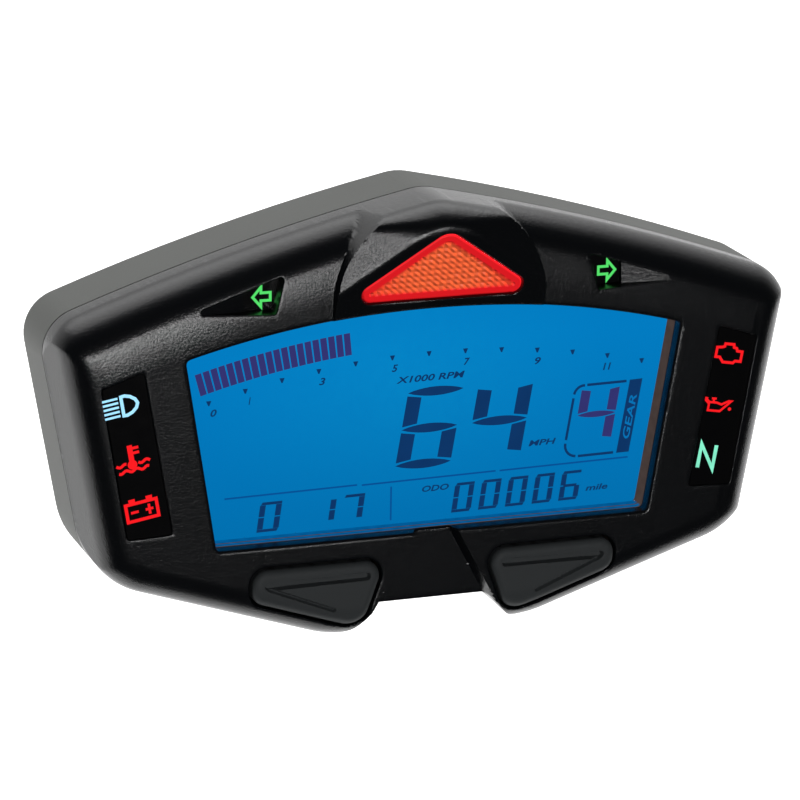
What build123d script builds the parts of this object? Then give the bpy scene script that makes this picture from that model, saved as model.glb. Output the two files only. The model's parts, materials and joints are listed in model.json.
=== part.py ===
"""Motorcycle instrument cluster: a digital dash with two rubber keys.

Millimetres. X is to the rider's right, Y points away from the rider and Z up. Y = 0 is the plane that
the rear bosses bolt against, and X = Z = 0 is the centre of their bolt circle.
Depths are measured from the face plane of the front cover towards the back.
"""

import os
from math import cos, radians, sin, tan

from build123d import *

# ---- case ----
OVERALL_DEPTH = 32.0
PARTING_DEPTH = 9.9
BACK_DEPTH = 24.0
WALL = 2.4
RIM_RADIUS = 5.5
BACK_EDGE_RADIUS = 2.2
PEAK = (0, 37.0)
CREST_MIDDLE = (30, 29.75)
SHOULDER = (63.3, 18.7)
LOWER_CORNER = (56.0, -22.5)
POD_FOOT = (17.2, -35.3)
PEAK_RADIUS = 9.0
SHOULDER_RADIUS = 7.0
LOWER_RADIUS = 13.0
POD_FOOT_RADIUS = 20.0
POD_TIP_RADIUS = 4.0
NOTCH_TOP = -30.0
NOTCH_HALF_WIDTH = 9.6
NOTCH_FLARE = 5.6
NOTCH_ROUND = 2.0
SIDE_LEAN = 2.6
SIDE_REACH = 140.0

# ---- window in the front cover ----
WINDOW_TOP = 19.4
WINDOW_SHOULDER = (41.8, 13.7)
WINDOW_CORNER = (36.8, -18.0)
WINDOW_ROUND = 0.8
WINDOW_CHAMFER = 0.5

# ---- hood over the warning lamp ----
HOOD_CENTRE = (0, 20.0)
HOOD_RADIUS = 17.7
HOOD_TILT = 16.5
HOOD_ROOT = 17.5
HOOD_REACH = 5.4
HOOD_RIM_RADIUS = 6.5
FLANK_POINT = (10.9, 27.7)
FLANK_SLOPE = -0.7
FLANK_FALL = 30.0

# ---- warning lens, turn openings, telltale strips, keys: corners of the right half ----
LAMP_APEX = (0, 32.9)
LAMP_CORNER = (16.7, 21.1)
LAMP_SAG = 21.2
LAMP_ROUND = 1.5
TURN_CORNERS = [(41.3, 21.0), (25.6, 26.3), (27.2, 20.2)]
TURN_ROUND = 0.5
TURN_RECESS = 3.1
TURN_RAMP_START = 31.8
TURN_RAMP_DEPTHS = (2.3, 0.1)
STRIP_CORNERS = [(48.65, 12.6), (55.5, 10.3), (51.5, -14.7), (44.1, -14.4)]
STRIP_ROUND = 0.5
KEY_CORNERS = [(31.0, -21.8), (8.5, -21.9), (12.6, -33.5), (31.0, -27.3)]
KEY_ROUNDS = [2.6, 2.6, 3.2, 2.6]
KEY_GAP = 0.4
KEY_PROUD = 0.7
KEY_RING = 2.2
KEY_GROOVE = 1.2
KEY_GROOVE_DEPTH = 0.9
KEY_TRAVEL = 1.0
KEY_BACK = 5.0
STRIP_DROP = 0.15
LENS_DROP = 0.35

# ---- parting line and its seal ----
SHADOW = 0.35
SEAL_INSET = 0.8
SEAL_WIDTH = 1.0
SEAL_HEIGHT = 1.0

# ---- V panel between the pods ----
PANEL_TOP = (3.0, -17.5)
PANEL_FOOT = (9.45, -30.5)
PANEL_TOP_DEPTH = 2.2
PANEL_FOOT_DEPTH = 1.3
PANEL_WALL = 1.2

# ---- inner stack, by depth ----
CLEAR = 0.05
WINDOW_FRONT = 0.5
FLANGE_BACK = 3.4
FLANGE = 0.9
GLASS_FRONT = 5.0
POLARIZER = 0.2
GLASS = 1.1
DIFFUSER = 0.5
LIGHT_GUIDE = 2.5
REFLECTOR = 0.3
TRAY_FLOOR = 1.2
BOARD_FRONT = 14.5
BOARD_BACK = 16.1
GLASS_MARGIN = 0.6
LEDGE = 2.2
FRAME_WALL = 0.8
BOX_WALL = 0.8
FILM = 0.2
GUIDE_FOOT = -17.1
BACKLIGHT_BOARD = (64.0, -18.6, -18.0)

# ---- fasteners and mounts ----
PAIRED_CASE_SCREWS = [(53.7, 16.2), (46, -20.6), (19.8, 26.8)]
LOWEST_CASE_SCREW = (0, -24.4)
CASE_BOSS = 2.6
REAR_BOSS = 4.0
BOSS_JOINT = 12.0
CASE_SCREW = 1.25
CASE_HEAD = 2.6
CASE_HEAD_HEIGHT = 1.8
PAIRED_BOARD_SCREWS = [(46.7, 18.7), (37.8, -22.6)]
BOARD_SCREW_TIP = 9.0
CASE_SCREW_TIP = 5.0
BOARD_POST = 2.2
BOARD_SCREW = 0.9
BOARD_HEAD = 1.8
BOARD_HEAD_HEIGHT = 1.3
BOLT_CIRCLE = 50.0
MOUNT_BOSS = 5.5
INSERT_OUTER = 3.4
INSERT_BORE = 2.1
INSERT_LENGTH = 9.0
PLATEAU = (72, 32)
PLATEAU_RISE = 2.5
VENT = (46, 0)
VENT_RADIUS = 3.6

# ---- connector ----
PLUG_CENTRE = (0, -9.0)
PLUG_SIZE = (24.0, 11.0)
PLUG_WALL = 1.4
PLUG_FLOOR = 21.5
PLUG_END = 31.0
SHROUD_WALL = 1.8
PIN_RADIUS = 0.45
PIN_PITCH = (3.0, 3.4)
PIN_COUNT = (6, 2)
PIN_END = 26.5

# ---- key switches ----
SWITCH_CENTRE = (20.0, -26.2)
SWITCH_WIDTH = 6.0
SWITCH_HEIGHT = 3.4
PLUNGER_RADIUS = 1.7
PLUNGER_BORE = 1.75
PLUNGER_PROUD = 0.8
PLUNGER_TRAVEL = 0.3
STEM = 4.0
STEM_ROUND = 0.8

# ---- lamps on the board ----
LAMP_SPOTS = [(0, 26.6), (6.0, 24.2), (-6.0, 24.2)]
TURN_SPOT = (29.4, 23.0)
STRIP_SPOTS = [(51.3, 6.6), (49.9, -1.6), (48.4, -9.8)]
LED_SIZE = (3.2, 2.6, 1.6)
BACKLIGHT_LED = (3.6, 0.8, 1.8)
BACKLIGHT_LED_PITCH = 9.0
BACKLIGHT_LED_COUNT = 7

# ---- strips that join the glass to the board, right half ----
ELASTOMER_CORNERS = [(44.05, 11.5), (42.45, 11.5), (38.35, -15.0), (39.95, -15.0)]

# ---- what is soldered to the back of the board: centre, width, height, thickness, leads a side, sides ----
MICROCONTROLLER = [((-24, 5), 12.0, 12.0, 1.6, 10, 4)]
DRIVER_CHIPS = [((18, 9), 10.0, 4.4, 1.8, 7, 2), ((32, 9), 10.0, 4.4, 1.8, 7, 2)]
VOLTAGE_REGULATOR = [((30, -6), 6.6, 6.2, 2.4, 2, 2)]
CAPACITOR_SPOTS = [(22, -5), (39, -3), (39, 3.5), (-38, 8)]
CAPACITOR_RADIUS = 2.9
CRYSTAL = ((-24, -7), 11.0, 4.4, 3.4)


def at_depth(depth):
    """A plane parallel to the face, facing the rider."""
    return Plane.XZ.offset(OVERALL_DEPTH - depth)


def mirrored(corners):
    return [(-x, z) for x, z in corners]


def on_both_sides(points):
    return [(side * x, z) for x, z in points for side in (1, -1)]


def corner_near(sketch, point):
    return sketch.vertices().sort_by_distance(Vector(*point))[0]


def whole_outline():
    """The case seen from the front, with the gap between the two pods filled in."""
    with BuildSketch() as outline:
        with BuildLine():
            shoulder, corner, foot = mirrored([SHOULDER, LOWER_CORNER, POD_FOOT])
            ThreePointArc(shoulder, (-CREST_MIDDLE[0], CREST_MIDDLE[1]), PEAK)
            ThreePointArc(PEAK, CREST_MIDDLE, SHOULDER)
            Polyline(SHOULDER, LOWER_CORNER, POD_FOOT, foot, corner, shoulder)
        make_face()
        fillet(corner_near(outline, PEAK), PEAK_RADIUS)
        rounds = [(SHOULDER, SHOULDER_RADIUS), (LOWER_CORNER, LOWER_RADIUS), (POD_FOOT, POD_FOOT_RADIUS)]
        for (x, z), radius in rounds:
            for side in (x, -x):
                fillet(corner_near(outline, (side, z)), radius)
    return outline.sketch


def case_outline():
    """The case seen from the front: a peaked top, slanted sides and two pod tips below."""
    foot = POD_FOOT[1] - 1
    tip = NOTCH_HALF_WIDTH + NOTCH_FLARE * (NOTCH_TOP - POD_FOOT[1]) / (NOTCH_TOP - foot)
    inner, outer = (NOTCH_HALF_WIDTH, NOTCH_TOP), (NOTCH_HALF_WIDTH + NOTCH_FLARE, foot)
    with BuildSketch() as outline:
        add(WHOLE)
        with BuildLine():
            Polyline((0, NOTCH_TOP), inner, outer, (0, foot))
            mirror(about=Plane.YZ)
        make_face(mode=Mode.SUBTRACT)
        for side in (1, -1):
            fillet(corner_near(outline, (side * tip, POD_FOOT[1])), POD_TIP_RADIUS)
            fillet(corner_near(outline, (side * NOTCH_HALF_WIDTH, NOTCH_TOP)), NOTCH_ROUND)
    return outline.sketch


def window_outline(grow=0.0, ledge=0.0):
    """The display window: an arched top and slanted sides, grown all round, and by a ledge at the sides."""
    wide = grow + ledge
    with BuildSketch() as window:
        with BuildLine():
            shoulder = (WINDOW_SHOULDER[0] + wide, WINDOW_SHOULDER[1] + grow)
            corner = (WINDOW_CORNER[0] + wide, WINDOW_CORNER[1] - grow)
            ThreePointArc((-shoulder[0], shoulder[1]), (0, WINDOW_TOP + grow), shoulder)
            Polyline(shoulder, corner, (-corner[0], corner[1]), (-shoulder[0], shoulder[1]))
        make_face()
        fillet(window.vertices(), WINDOW_ROUND + max(grow, 0) / 2)
    return window.sketch


def rounded_outline(corners, rounds, grow=0.0):
    """A polygon with rounded corners, grown outwards by an offset."""
    with BuildSketch() as shape:
        with BuildLine():
            Polyline(*corners, close=True)
        make_face()
        for corner, radius in zip(corners, rounds):
            fillet(corner_near(shape, corner), radius)
        if grow:
            offset(amount=grow)
    return shape.sketch


def lamp_outline(grow=0.0):
    """The warning lens: a rounded triangle with a slightly arched foot."""
    left = (-LAMP_CORNER[0], LAMP_CORNER[1])
    with BuildSketch() as lamp:
        with BuildLine():
            Polyline(LAMP_CORNER, LAMP_APEX, left)
            ThreePointArc(left, (0, LAMP_SAG), LAMP_CORNER)
        make_face()
        fillet(corner_near(lamp, LAMP_APEX), 2 * LAMP_ROUND)
        for corner in (LAMP_CORNER, left):
            fillet(corner_near(lamp, corner), LAMP_ROUND)
        if grow:
            offset(amount=grow)
    return lamp.sketch


def slab(sketch, front, back):
    """A solid of a front-view sketch between two depths."""
    with BuildPart() as piece:
        with BuildSketch(at_depth(back)):
            add(sketch)
        extrude(amount=back - front)
    return piece.part


def ring(outer, inner, front, back):
    """A tube between two front-view outlines and two depths."""
    with BuildPart() as piece:
        with BuildSketch(at_depth(back)):
            add(outer)
            add(inner, mode=Mode.SUBTRACT)
        extrude(amount=back - front)
    return piece.part


def discs(points, radius, front, back):
    """Round bars at the same place in the front view, one for each point."""
    with BuildSketch() as spots:
        with Locations(*points):
            Circle(radius)
    return slab(spots.sketch, front, back)


def boxes(points, width, height, front, back):
    """Rectangular blocks, one for each point."""
    with BuildSketch() as spots:
        with Locations(*points):
            Rectangle(width, height)
    return slab(spots.sketch, front, back)


def save(builder, name):
    builder.part.label = name
    export_step(builder.part, f"parts/{name}.step")


os.makedirs("parts", exist_ok=True)

# ---- outlines shared by several pieces, in the front view ----
SIDES = ("left", "right")
CASE_SCREWS = on_both_sides(PAIRED_CASE_SCREWS) + [LOWEST_CASE_SCREW]
BOARD_SCREWS = on_both_sides(PAIRED_BOARD_SCREWS)
WHOLE = whole_outline()
CASE = case_outline()
NOTCH = WHOLE - CASE
CAVITY = offset(CASE, amount=-WALL)
BOARD = offset(CASE, amount=-WALL - 0.9)
WHOLE_LARGE = offset(WHOLE, amount=2)
SHADOW_LINE = offset(CASE, amount=-SHADOW)
SEAL_OUTER = offset(CASE, amount=-SEAL_INSET)
SEAL_INNER = offset(CASE, amount=-SEAL_INSET - SEAL_WIDTH)
SEAL_RING = offset(CASE, amount=-SEAL_INSET - CLEAR) - offset(CASE, amount=-SEAL_INSET - SEAL_WIDTH + CLEAR)

WINDOW = window_outline()
WINDOW_RIM = window_outline(WINDOW_CHAMFER)
WINDOW_PANE = window_outline(-0.1)
WINDOW_FLANGE = window_outline(1.0)
PANEL_SMALL = window_outline(GLASS_MARGIN - 0.2)
GLASS_NARROW = window_outline(GLASS_MARGIN)
GLASS_WIDE = window_outline(GLASS_MARGIN, LEDGE)
FRAME_LIP = window_outline(-0.25)
FRAME_POCKET = window_outline(GLASS_MARGIN + 0.1, LEDGE)
FRAME_OUTER = window_outline(GLASS_MARGIN + 0.1 + FRAME_WALL, LEDGE)
above_guide_foot = Pos(0, GUIDE_FOOT + 25) * Rectangle(100, 50)
GUIDE = GLASS_NARROW & above_guide_foot
TRAY_ROOM = offset(GUIDE, amount=-1.2)

LAMP = lamp_outline()
LAMP_HOLE = lamp_outline(0.15)
LAMP_FLANGE = lamp_outline(0.7)
LAMP_BOX = lamp_outline(0.15)
LAMP_ROOM = lamp_outline(0.15 - BOX_WALL)


def both(corners, rounds, grow):
    """The left and right copies of a rounded polygon."""
    left = rounded_outline(mirrored(corners), rounds, grow)
    return {"left": left, "right": rounded_outline(corners, rounds, grow)}


TURN = both(TURN_CORNERS, [TURN_ROUND] * 3, 0)
TURN_LARGE = both(TURN_CORNERS, [TURN_ROUND] * 3, BOX_WALL + 0.2)
TURN_PLATE = both(TURN_CORNERS, [TURN_ROUND] * 3, BOX_WALL)
TURN_ROOM = both(TURN_CORNERS, [TURN_ROUND] * 3, 0.05)
before_ramp = Rectangle(2 * TURN_RAMP_START, 100)
TURN_HOLE = {side: TURN[side] & before_ramp for side in SIDES}
STRIP = both(STRIP_CORNERS, [STRIP_ROUND] * 4, 0)
STRIP_PANE = both(STRIP_CORNERS, [STRIP_ROUND] * 4, -0.1)
STRIP_FLANGE = both(STRIP_CORNERS, [STRIP_ROUND] * 4, BOX_WALL)
STRIP_ROOM = both(STRIP_CORNERS, [STRIP_ROUND] * 4, 0.05)
KEY = both(KEY_CORNERS, KEY_ROUNDS, 0)
KEY_HOLE = both(KEY_CORNERS, KEY_ROUNDS, KEY_GAP)
KEY_PAD = both(KEY_CORNERS, KEY_ROUNDS, -KEY_RING)
KEY_GROOVES = {side: KEY_PAD[side] - Pos(0, -KEY_GROOVE) * KEY_PAD[side] for side in SIDES}
key_room = offset(CAVITY, amount=-0.3)
key_skirt = both(KEY_CORNERS, KEY_ROUNDS, FLANGE)
KEY_FLANGE = {side: key_skirt[side] & key_room for side in SIDES}
STEM_END = BOARD_FRONT - SWITCH_HEIGHT - PLUNGER_PROUD + PLUNGER_TRAVEL - KEY_TRAVEL - 0.02

MOUNT_ANGLES = [radians(90), radians(210), radians(330)]
MOUNT_SPOTS = [(BOLT_CIRCLE / 2 * cos(angle), BOLT_CIRCLE / 2 * sin(angle)) for angle in MOUNT_ANGLES]
PLUG = Pos(*PLUG_CENTRE) * RectangleRounded(*PLUG_SIZE, 1.0)
PLUG_HOLE = offset(PLUG, amount=0.15)
SHROUD = offset(PLUG, amount=SHROUD_WALL)
PLUG_SOCKET = offset(PLUG, amount=-PLUG_WALL)
pin_columns = [PLUG_CENTRE[0] + PIN_PITCH[0] * (k - (PIN_COUNT[0] - 1) / 2) for k in range(PIN_COUNT[0])]
pin_rows = [PLUG_CENTRE[1] + PIN_PITCH[1] * (k - (PIN_COUNT[1] - 1) / 2) for k in range(PIN_COUNT[1])]
PIN_SPOTS = [(x, z) for x in pin_columns for z in pin_rows]
pin_holes = discs(PIN_SPOTS, PIN_RADIUS + CLEAR, BOARD_BACK, PLUG_FLOOR + 1)

# ---- front cover ----
def domed_case(reach, radius):
    """The case's front with a rounded rim, its face standing forward of the face plane by the reach."""
    with BuildPart() as body:
        with BuildSketch(at_depth(PARTING_DEPTH)):
            add(WHOLE)
        extrude(amount=PARTING_DEPTH + reach)
        fillet(body.faces().sort_by(Axis.Y)[0].edges(), radius)
    return body.part


# The hood is a round boss cut back to a facet that leans forward and two flanks that fall away from it.
facet_normal = Vector(0, -cos(radians(HOOD_TILT)), -sin(radians(HOOD_TILT)))
facet = Plane(origin=(0, -OVERALL_DEPTH, HOOD_ROOT), z_dir=facet_normal)


def flank(side):
    """The plane that falls away from one upper edge of the facet."""
    rise = FLANK_POINT[1] - HOOD_ROOT
    foot = Vector(side * FLANK_POINT[0], -OVERALL_DEPTH - rise * tan(radians(HOOD_TILT)), FLANK_POINT[1])
    edge = Vector(side, -FLANK_SLOPE * tan(radians(HOOD_TILT)), FLANK_SLOPE)
    return Plane(origin=foot, z_dir=facet_normal.rotate(Axis((0, 0, 0), edge), -side * FLANK_FALL))


hood_dome = domed_case(HOOD_REACH, HOOD_RIM_RADIUS)
with BuildPart() as hood:
    with BuildSketch(at_depth(PARTING_DEPTH - 1)):
        with Locations(HOOD_CENTRE):
            Circle(HOOD_RADIUS)
    extrude(amount=PARTING_DEPTH + HOOD_REACH + 1)
    add(hood_dome, mode=Mode.INTERSECT)
    for cut in (facet, flank(1), flank(-1)):
        split(bisect_by=cut, keep=Keep.BOTTOM)

with BuildPart() as panel_recess:
    with BuildSketch(at_depth(PANEL_TOP_DEPTH)):
        with BuildLine():
            Polyline(PANEL_TOP, PANEL_FOOT, (0, PANEL_FOOT[1]))
            mirror(about=Plane.YZ)
            Line(PANEL_TOP, (-PANEL_TOP[0], PANEL_TOP[1]))
        make_face()
    extrude(amount=PANEL_TOP_DEPTH + 2)
    lean = (0, PANEL_FOOT[1] - PANEL_TOP[1], PANEL_TOP_DEPTH - PANEL_FOOT_DEPTH)
    floor = Plane(origin=(0, PANEL_TOP_DEPTH - OVERALL_DEPTH, PANEL_TOP[1]), z_dir=lean)
    split(bisect_by=floor, keep=Keep.TOP)

with BuildPart() as panel_backing:
    with BuildSketch(at_depth(FLANGE_BACK)):
        with BuildLine():
            top = (PANEL_TOP[0] + PANEL_WALL, WINDOW_CORNER[1] - 0.15)
            foot = (PANEL_FOOT[0] + PANEL_WALL / 2, NOTCH_TOP + 1)
            Polyline(top, foot, (0, foot[1]))
            mirror(about=Plane.YZ)
            Line(top, (-top[0], top[1]))
        make_face()
    extrude(amount=FLANGE_BACK - WALL / 2)

with BuildPart() as window_cut:
    with BuildSketch(at_depth(PARTING_DEPTH)):
        add(WINDOW)
    extrude(amount=PARTING_DEPTH)
    with BuildSketch(at_depth(0)):
        add(WINDOW_RIM)
    extrude(amount=-WINDOW_CHAMFER, taper=45)
    with BuildSketch(at_depth(0)):
        add(WINDOW_RIM)
    extrude(amount=HOOD_REACH)



def between_sides(body, inset):
    """What lies between the cover's two sides, which lean inwards to a rounded front edge."""
    x, z = LOWER_CORNER
    up = Vector(SHOULDER[0] - x, 0, SHOULDER[1] - z).normalized()
    foot = (x - inset, PARTING_DEPTH - OVERALL_DEPTH, z)
    front_edge = (-SIDE_LEAN, -PARTING_DEPTH)
    with BuildPart() as room:
        with BuildSketch(Plane(origin=foot, x_dir=(up.Z, 0, -up.X), z_dir=up)) as section:
            with BuildLine():
                Polyline((0, 0), front_edge, (-SIDE_REACH, front_edge[1]), (-SIDE_REACH, 0), close=True)
            make_face()
            fillet(corner_near(section, front_edge), RIM_RADIUS)
        extrude(amount=SIDE_REACH, both=True)
    return body & room.part & room.part.mirror(Plane.YZ)


def turn_ramp(side):
    """What is cut away in front of a turn window's outer end, down to a floor that rises to the tip."""
    sign = 1 if side == "right" else -1
    foot, tip = TURN_RAMP_DEPTHS
    run = TURN_CORNERS[0][0] - TURN_RAMP_START
    start = (sign * TURN_RAMP_START, foot - OVERALL_DEPTH, 0)
    floor = Plane(origin=start, z_dir=(sign * (tip - foot), -run, 0))
    with BuildPart() as ramp:
        with BuildSketch(at_depth(TURN_RECESS)):
            add(TURN[side])
        extrude(amount=TURN_RECESS + 2)
        split(bisect_by=floor, keep=Keep.TOP)
    return ramp.part


cover_shell = between_sides(domed_case(0, RIM_RADIUS), 0)
cover_hollow = between_sides(slab(CAVITY, WALL, PARTING_DEPTH), WALL)
cover_collars = [slab(TURN_LARGE[side], WALL / 2, TURN_RECESS) for side in SIDES]
cover_posts = [
    discs(CASE_SCREWS, CASE_BOSS, WALL / 2, BOSS_JOINT),
    discs(BOARD_SCREWS, BOARD_POST, WALL / 2, BOARD_FRONT - CLEAR),
]
cover_openings = [slab(NOTCH, -1, PARTING_DEPTH + 1), slab(LAMP_HOLE, -5, PARTING_DEPTH)]
for side in SIDES:
    cover_openings += [
        slab(TURN_HOLE[side], -2, PARTING_DEPTH),
        turn_ramp(side),
        slab(STRIP[side], -2, PARTING_DEPTH),
        slab(KEY_HOLE[side], -3, KEY_BACK + KEY_TRAVEL + 0.3),
    ]
cover_pilots = [
    discs(CASE_SCREWS, CASE_SCREW + CLEAR, 4.0, BOSS_JOINT + 1),
    discs(BOARD_SCREWS, BOARD_SCREW + CLEAR, 8.0, BOARD_FRONT),
]

with BuildPart() as front_cover:
    add(cover_shell)
    add(hood.part)
    add(cover_hollow, mode=Mode.SUBTRACT)
    add([panel_backing.part, *cover_posts, *cover_collars])
    add(cover_openings, mode=Mode.SUBTRACT)
    add([window_cut.part, panel_recess.part, *cover_pilots], mode=Mode.SUBTRACT)
save(front_cover, "front_cover")

# ---- rear housing ----
housing_hollow = slab(CAVITY, PARTING_DEPTH - 1, BACK_DEPTH - WALL)
housing_posts = [
    discs(CASE_SCREWS, REAR_BOSS, BOSS_JOINT + CLEAR, BACK_DEPTH - 1),
    discs(MOUNT_SPOTS, MOUNT_BOSS, BACK_DEPTH - WALL, OVERALL_DEPTH),
    slab(SHROUD, BACK_DEPTH - WALL, PLUG_END),
]
housing_holes = [
    ring(WHOLE_LARGE, SHADOW_LINE, PARTING_DEPTH - 1, PARTING_DEPTH + SHADOW),
    ring(SEAL_OUTER, SEAL_INNER, PARTING_DEPTH - 1, PARTING_DEPTH + SEAL_HEIGHT + CLEAR),
    discs(CASE_SCREWS, CASE_SCREW + 0.25, PARTING_DEPTH, OVERALL_DEPTH),
    discs(CASE_SCREWS, CASE_HEAD + 0.2, BACK_DEPTH - CASE_HEAD_HEIGHT - 0.2, OVERALL_DEPTH),
    discs(MOUNT_SPOTS, INSERT_OUTER, OVERALL_DEPTH - INSERT_LENGTH, OVERALL_DEPTH),
    discs([VENT], VENT_RADIUS + 0.1, BACK_DEPTH - 0.6, BACK_DEPTH + 1),
    discs([VENT], 0.8, PARTING_DEPTH, BACK_DEPTH),
    slab(PLUG_HOLE, PARTING_DEPTH, OVERALL_DEPTH),
]
with BuildPart() as rear_housing:
    with BuildSketch(at_depth(BACK_DEPTH)):
        add(CASE)
    extrude(amount=BACK_DEPTH - PARTING_DEPTH)
    fillet(rear_housing.faces().sort_by(Axis.Y)[-1].edges(), BACK_EDGE_RADIUS)
    with BuildSketch(at_depth(BACK_DEPTH + PLATEAU_RISE)):
        RectangleRounded(*PLATEAU, 5)
    extrude(amount=PLATEAU_RISE + WALL / 2)
    chamfer(rear_housing.faces().sort_by(Axis.Y)[-1].edges(), 1.0)
    add(housing_hollow, mode=Mode.SUBTRACT)
    add(housing_posts)
    add(housing_holes, mode=Mode.SUBTRACT)
save(rear_housing, "rear_housing")

with BuildPart() as housing_seal:
    with BuildSketch(at_depth(PARTING_DEPTH + SEAL_HEIGHT)):
        add(SEAL_RING)
    extrude(amount=SEAL_HEIGHT)
save(housing_seal, "housing_seal")

with BuildPart() as vent_membrane:
    with BuildSketch(at_depth(BACK_DEPTH - 0.2)):
        with Locations(VENT):
            Circle(VENT_RADIUS)
    extrude(amount=0.4)
save(vent_membrane, "vent_membrane")

with BuildPart() as mounting_inserts:
    with BuildSketch(at_depth(OVERALL_DEPTH)):
        with Locations(*MOUNT_SPOTS):
            Circle(INSERT_OUTER - CLEAR)
            Circle(INSERT_BORE, mode=Mode.SUBTRACT)
    extrude(amount=INSERT_LENGTH - CLEAR)
save(mounting_inserts, "mounting_inserts")

# ---- display, from the front to the back ----
with BuildPart() as display_window:
    with BuildSketch(at_depth(FLANGE_BACK)):
        add(WINDOW_PANE)
    extrude(amount=FLANGE_BACK - WINDOW_FRONT)
    with BuildSketch(at_depth(FLANGE_BACK)):
        add(WINDOW_FLANGE)
        with Locations((0, WINDOW_CORNER[1] - 5.1)):
            Rectangle(10, 10, mode=Mode.SUBTRACT)
    extrude(amount=FLANGE_BACK - WALL - CLEAR)
save(display_window, "display_window")

with BuildPart() as display_frame:
    with BuildSketch(at_depth(BOARD_FRONT - CLEAR)):
        add(FRAME_OUTER)
        add(FRAME_POCKET, mode=Mode.SUBTRACT)
    extrude(amount=BOARD_FRONT - CLEAR - GLASS_FRONT)
    with BuildSketch(at_depth(GLASS_FRONT)):
        add(FRAME_OUTER)
        add(FRAME_LIP, mode=Mode.SUBTRACT)
    extrude(amount=GLASS_FRONT - FLANGE_BACK - CLEAR)
save(display_frame, "display_frame")

layers = [
    ("front_polarizer", PANEL_SMALL, POLARIZER),
    ("display_front_glass", GLASS_WIDE, GLASS),
    ("display_rear_glass", GLASS_NARROW, GLASS),
    ("rear_polarizer", PANEL_SMALL, POLARIZER),
    ("diffuser_film", PANEL_SMALL, DIFFUSER),
    ("light_guide", GUIDE, LIGHT_GUIDE),
    ("reflector_sheet", GUIDE, REFLECTOR),
]
layer_back = GLASS_FRONT
for name, outline, thickness in layers:
    layer_back += thickness
    with BuildPart() as layer:
        with BuildSketch(at_depth(layer_back)):
            add(outline)
        extrude(amount=thickness)
    save(layer, name)

with BuildPart() as backlight_tray:
    with BuildSketch(at_depth(BOARD_FRONT - CLEAR)):
        add(GUIDE)
    extrude(amount=BOARD_FRONT - 2 * CLEAR - layer_back)
    with BuildSketch(at_depth(BOARD_FRONT)):
        add(TRAY_ROOM)
    extrude(amount=BOARD_FRONT - layer_back - TRAY_FLOOR, mode=Mode.SUBTRACT)
save(backlight_tray, "backlight_tray")

strip_length, strip_foot, strip_top = BACKLIGHT_BOARD
guide_front = layer_back - REFLECTOR - LIGHT_GUIDE
with BuildPart() as backlight_board:
    with BuildSketch(at_depth(BOARD_FRONT - CLEAR)):
        with Locations((0, (strip_foot + strip_top) / 2)):
            Rectangle(strip_length, strip_top - strip_foot)
    extrude(amount=BOARD_FRONT - CLEAR - guide_front)
save(backlight_board, "backlight_board")

led_width, led_height, led_depth = BACKLIGHT_LED
with BuildPart() as backlight_leds:
    with BuildSketch(at_depth(guide_front + 2.2)):
        with Locations((0, strip_top + led_height / 2)):
            with GridLocations(BACKLIGHT_LED_PITCH, 1, BACKLIGHT_LED_COUNT, 1):
                Rectangle(led_width, led_height)
    extrude(amount=led_depth)
save(backlight_leds, "backlight_leds")

with BuildPart() as elastomeric_connectors:
    with BuildSketch(at_depth(BOARD_FRONT)):
        with BuildLine():
            Polyline(*ELASTOMER_CORNERS, close=True)
        make_face()
        mirror(about=Plane.YZ)
    extrude(amount=BOARD_FRONT - GLASS_FRONT - POLARIZER - GLASS)
save(elastomeric_connectors, "elastomeric_connectors")

# ---- warning lamp, turn telltales and telltale strips ----
with BuildPart() as warning_lens:
    with BuildSketch(at_depth(FLANGE_BACK)):
        add(LAMP)
    extrude(amount=FLANGE_BACK + HOOD_REACH)
    split(bisect_by=facet.offset(-LENS_DROP), keep=Keep.BOTTOM)
    with BuildSketch(at_depth(FLANGE_BACK)):
        add(LAMP_FLANGE)
    extrude(amount=FLANGE_BACK - WALL - CLEAR)
save(warning_lens, "warning_lens")

with BuildPart() as warning_light_box:
    with BuildSketch(at_depth(BOARD_FRONT - CLEAR)):
        add(LAMP_BOX)
        add(LAMP_ROOM, mode=Mode.SUBTRACT)
    extrude(amount=BOARD_FRONT - FLANGE_BACK - 2 * CLEAR)
save(warning_light_box, "warning_light_box")


def surface_lamps(spots):
    """Small lamps soldered to the front of the board."""
    width, height, depth = LED_SIZE
    return boxes(spots, width, height, BOARD_FRONT - depth, BOARD_FRONT)


warning_lamps = surface_lamps(LAMP_SPOTS)
telltale_lamps = surface_lamps(on_both_sides(STRIP_SPOTS + [TURN_SPOT]))
for name, lamps in (("warning_lamps", warning_lamps), ("telltale_lamps", telltale_lamps)):
    with BuildPart() as group:
        add(lamps)
    save(group, name)

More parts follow.
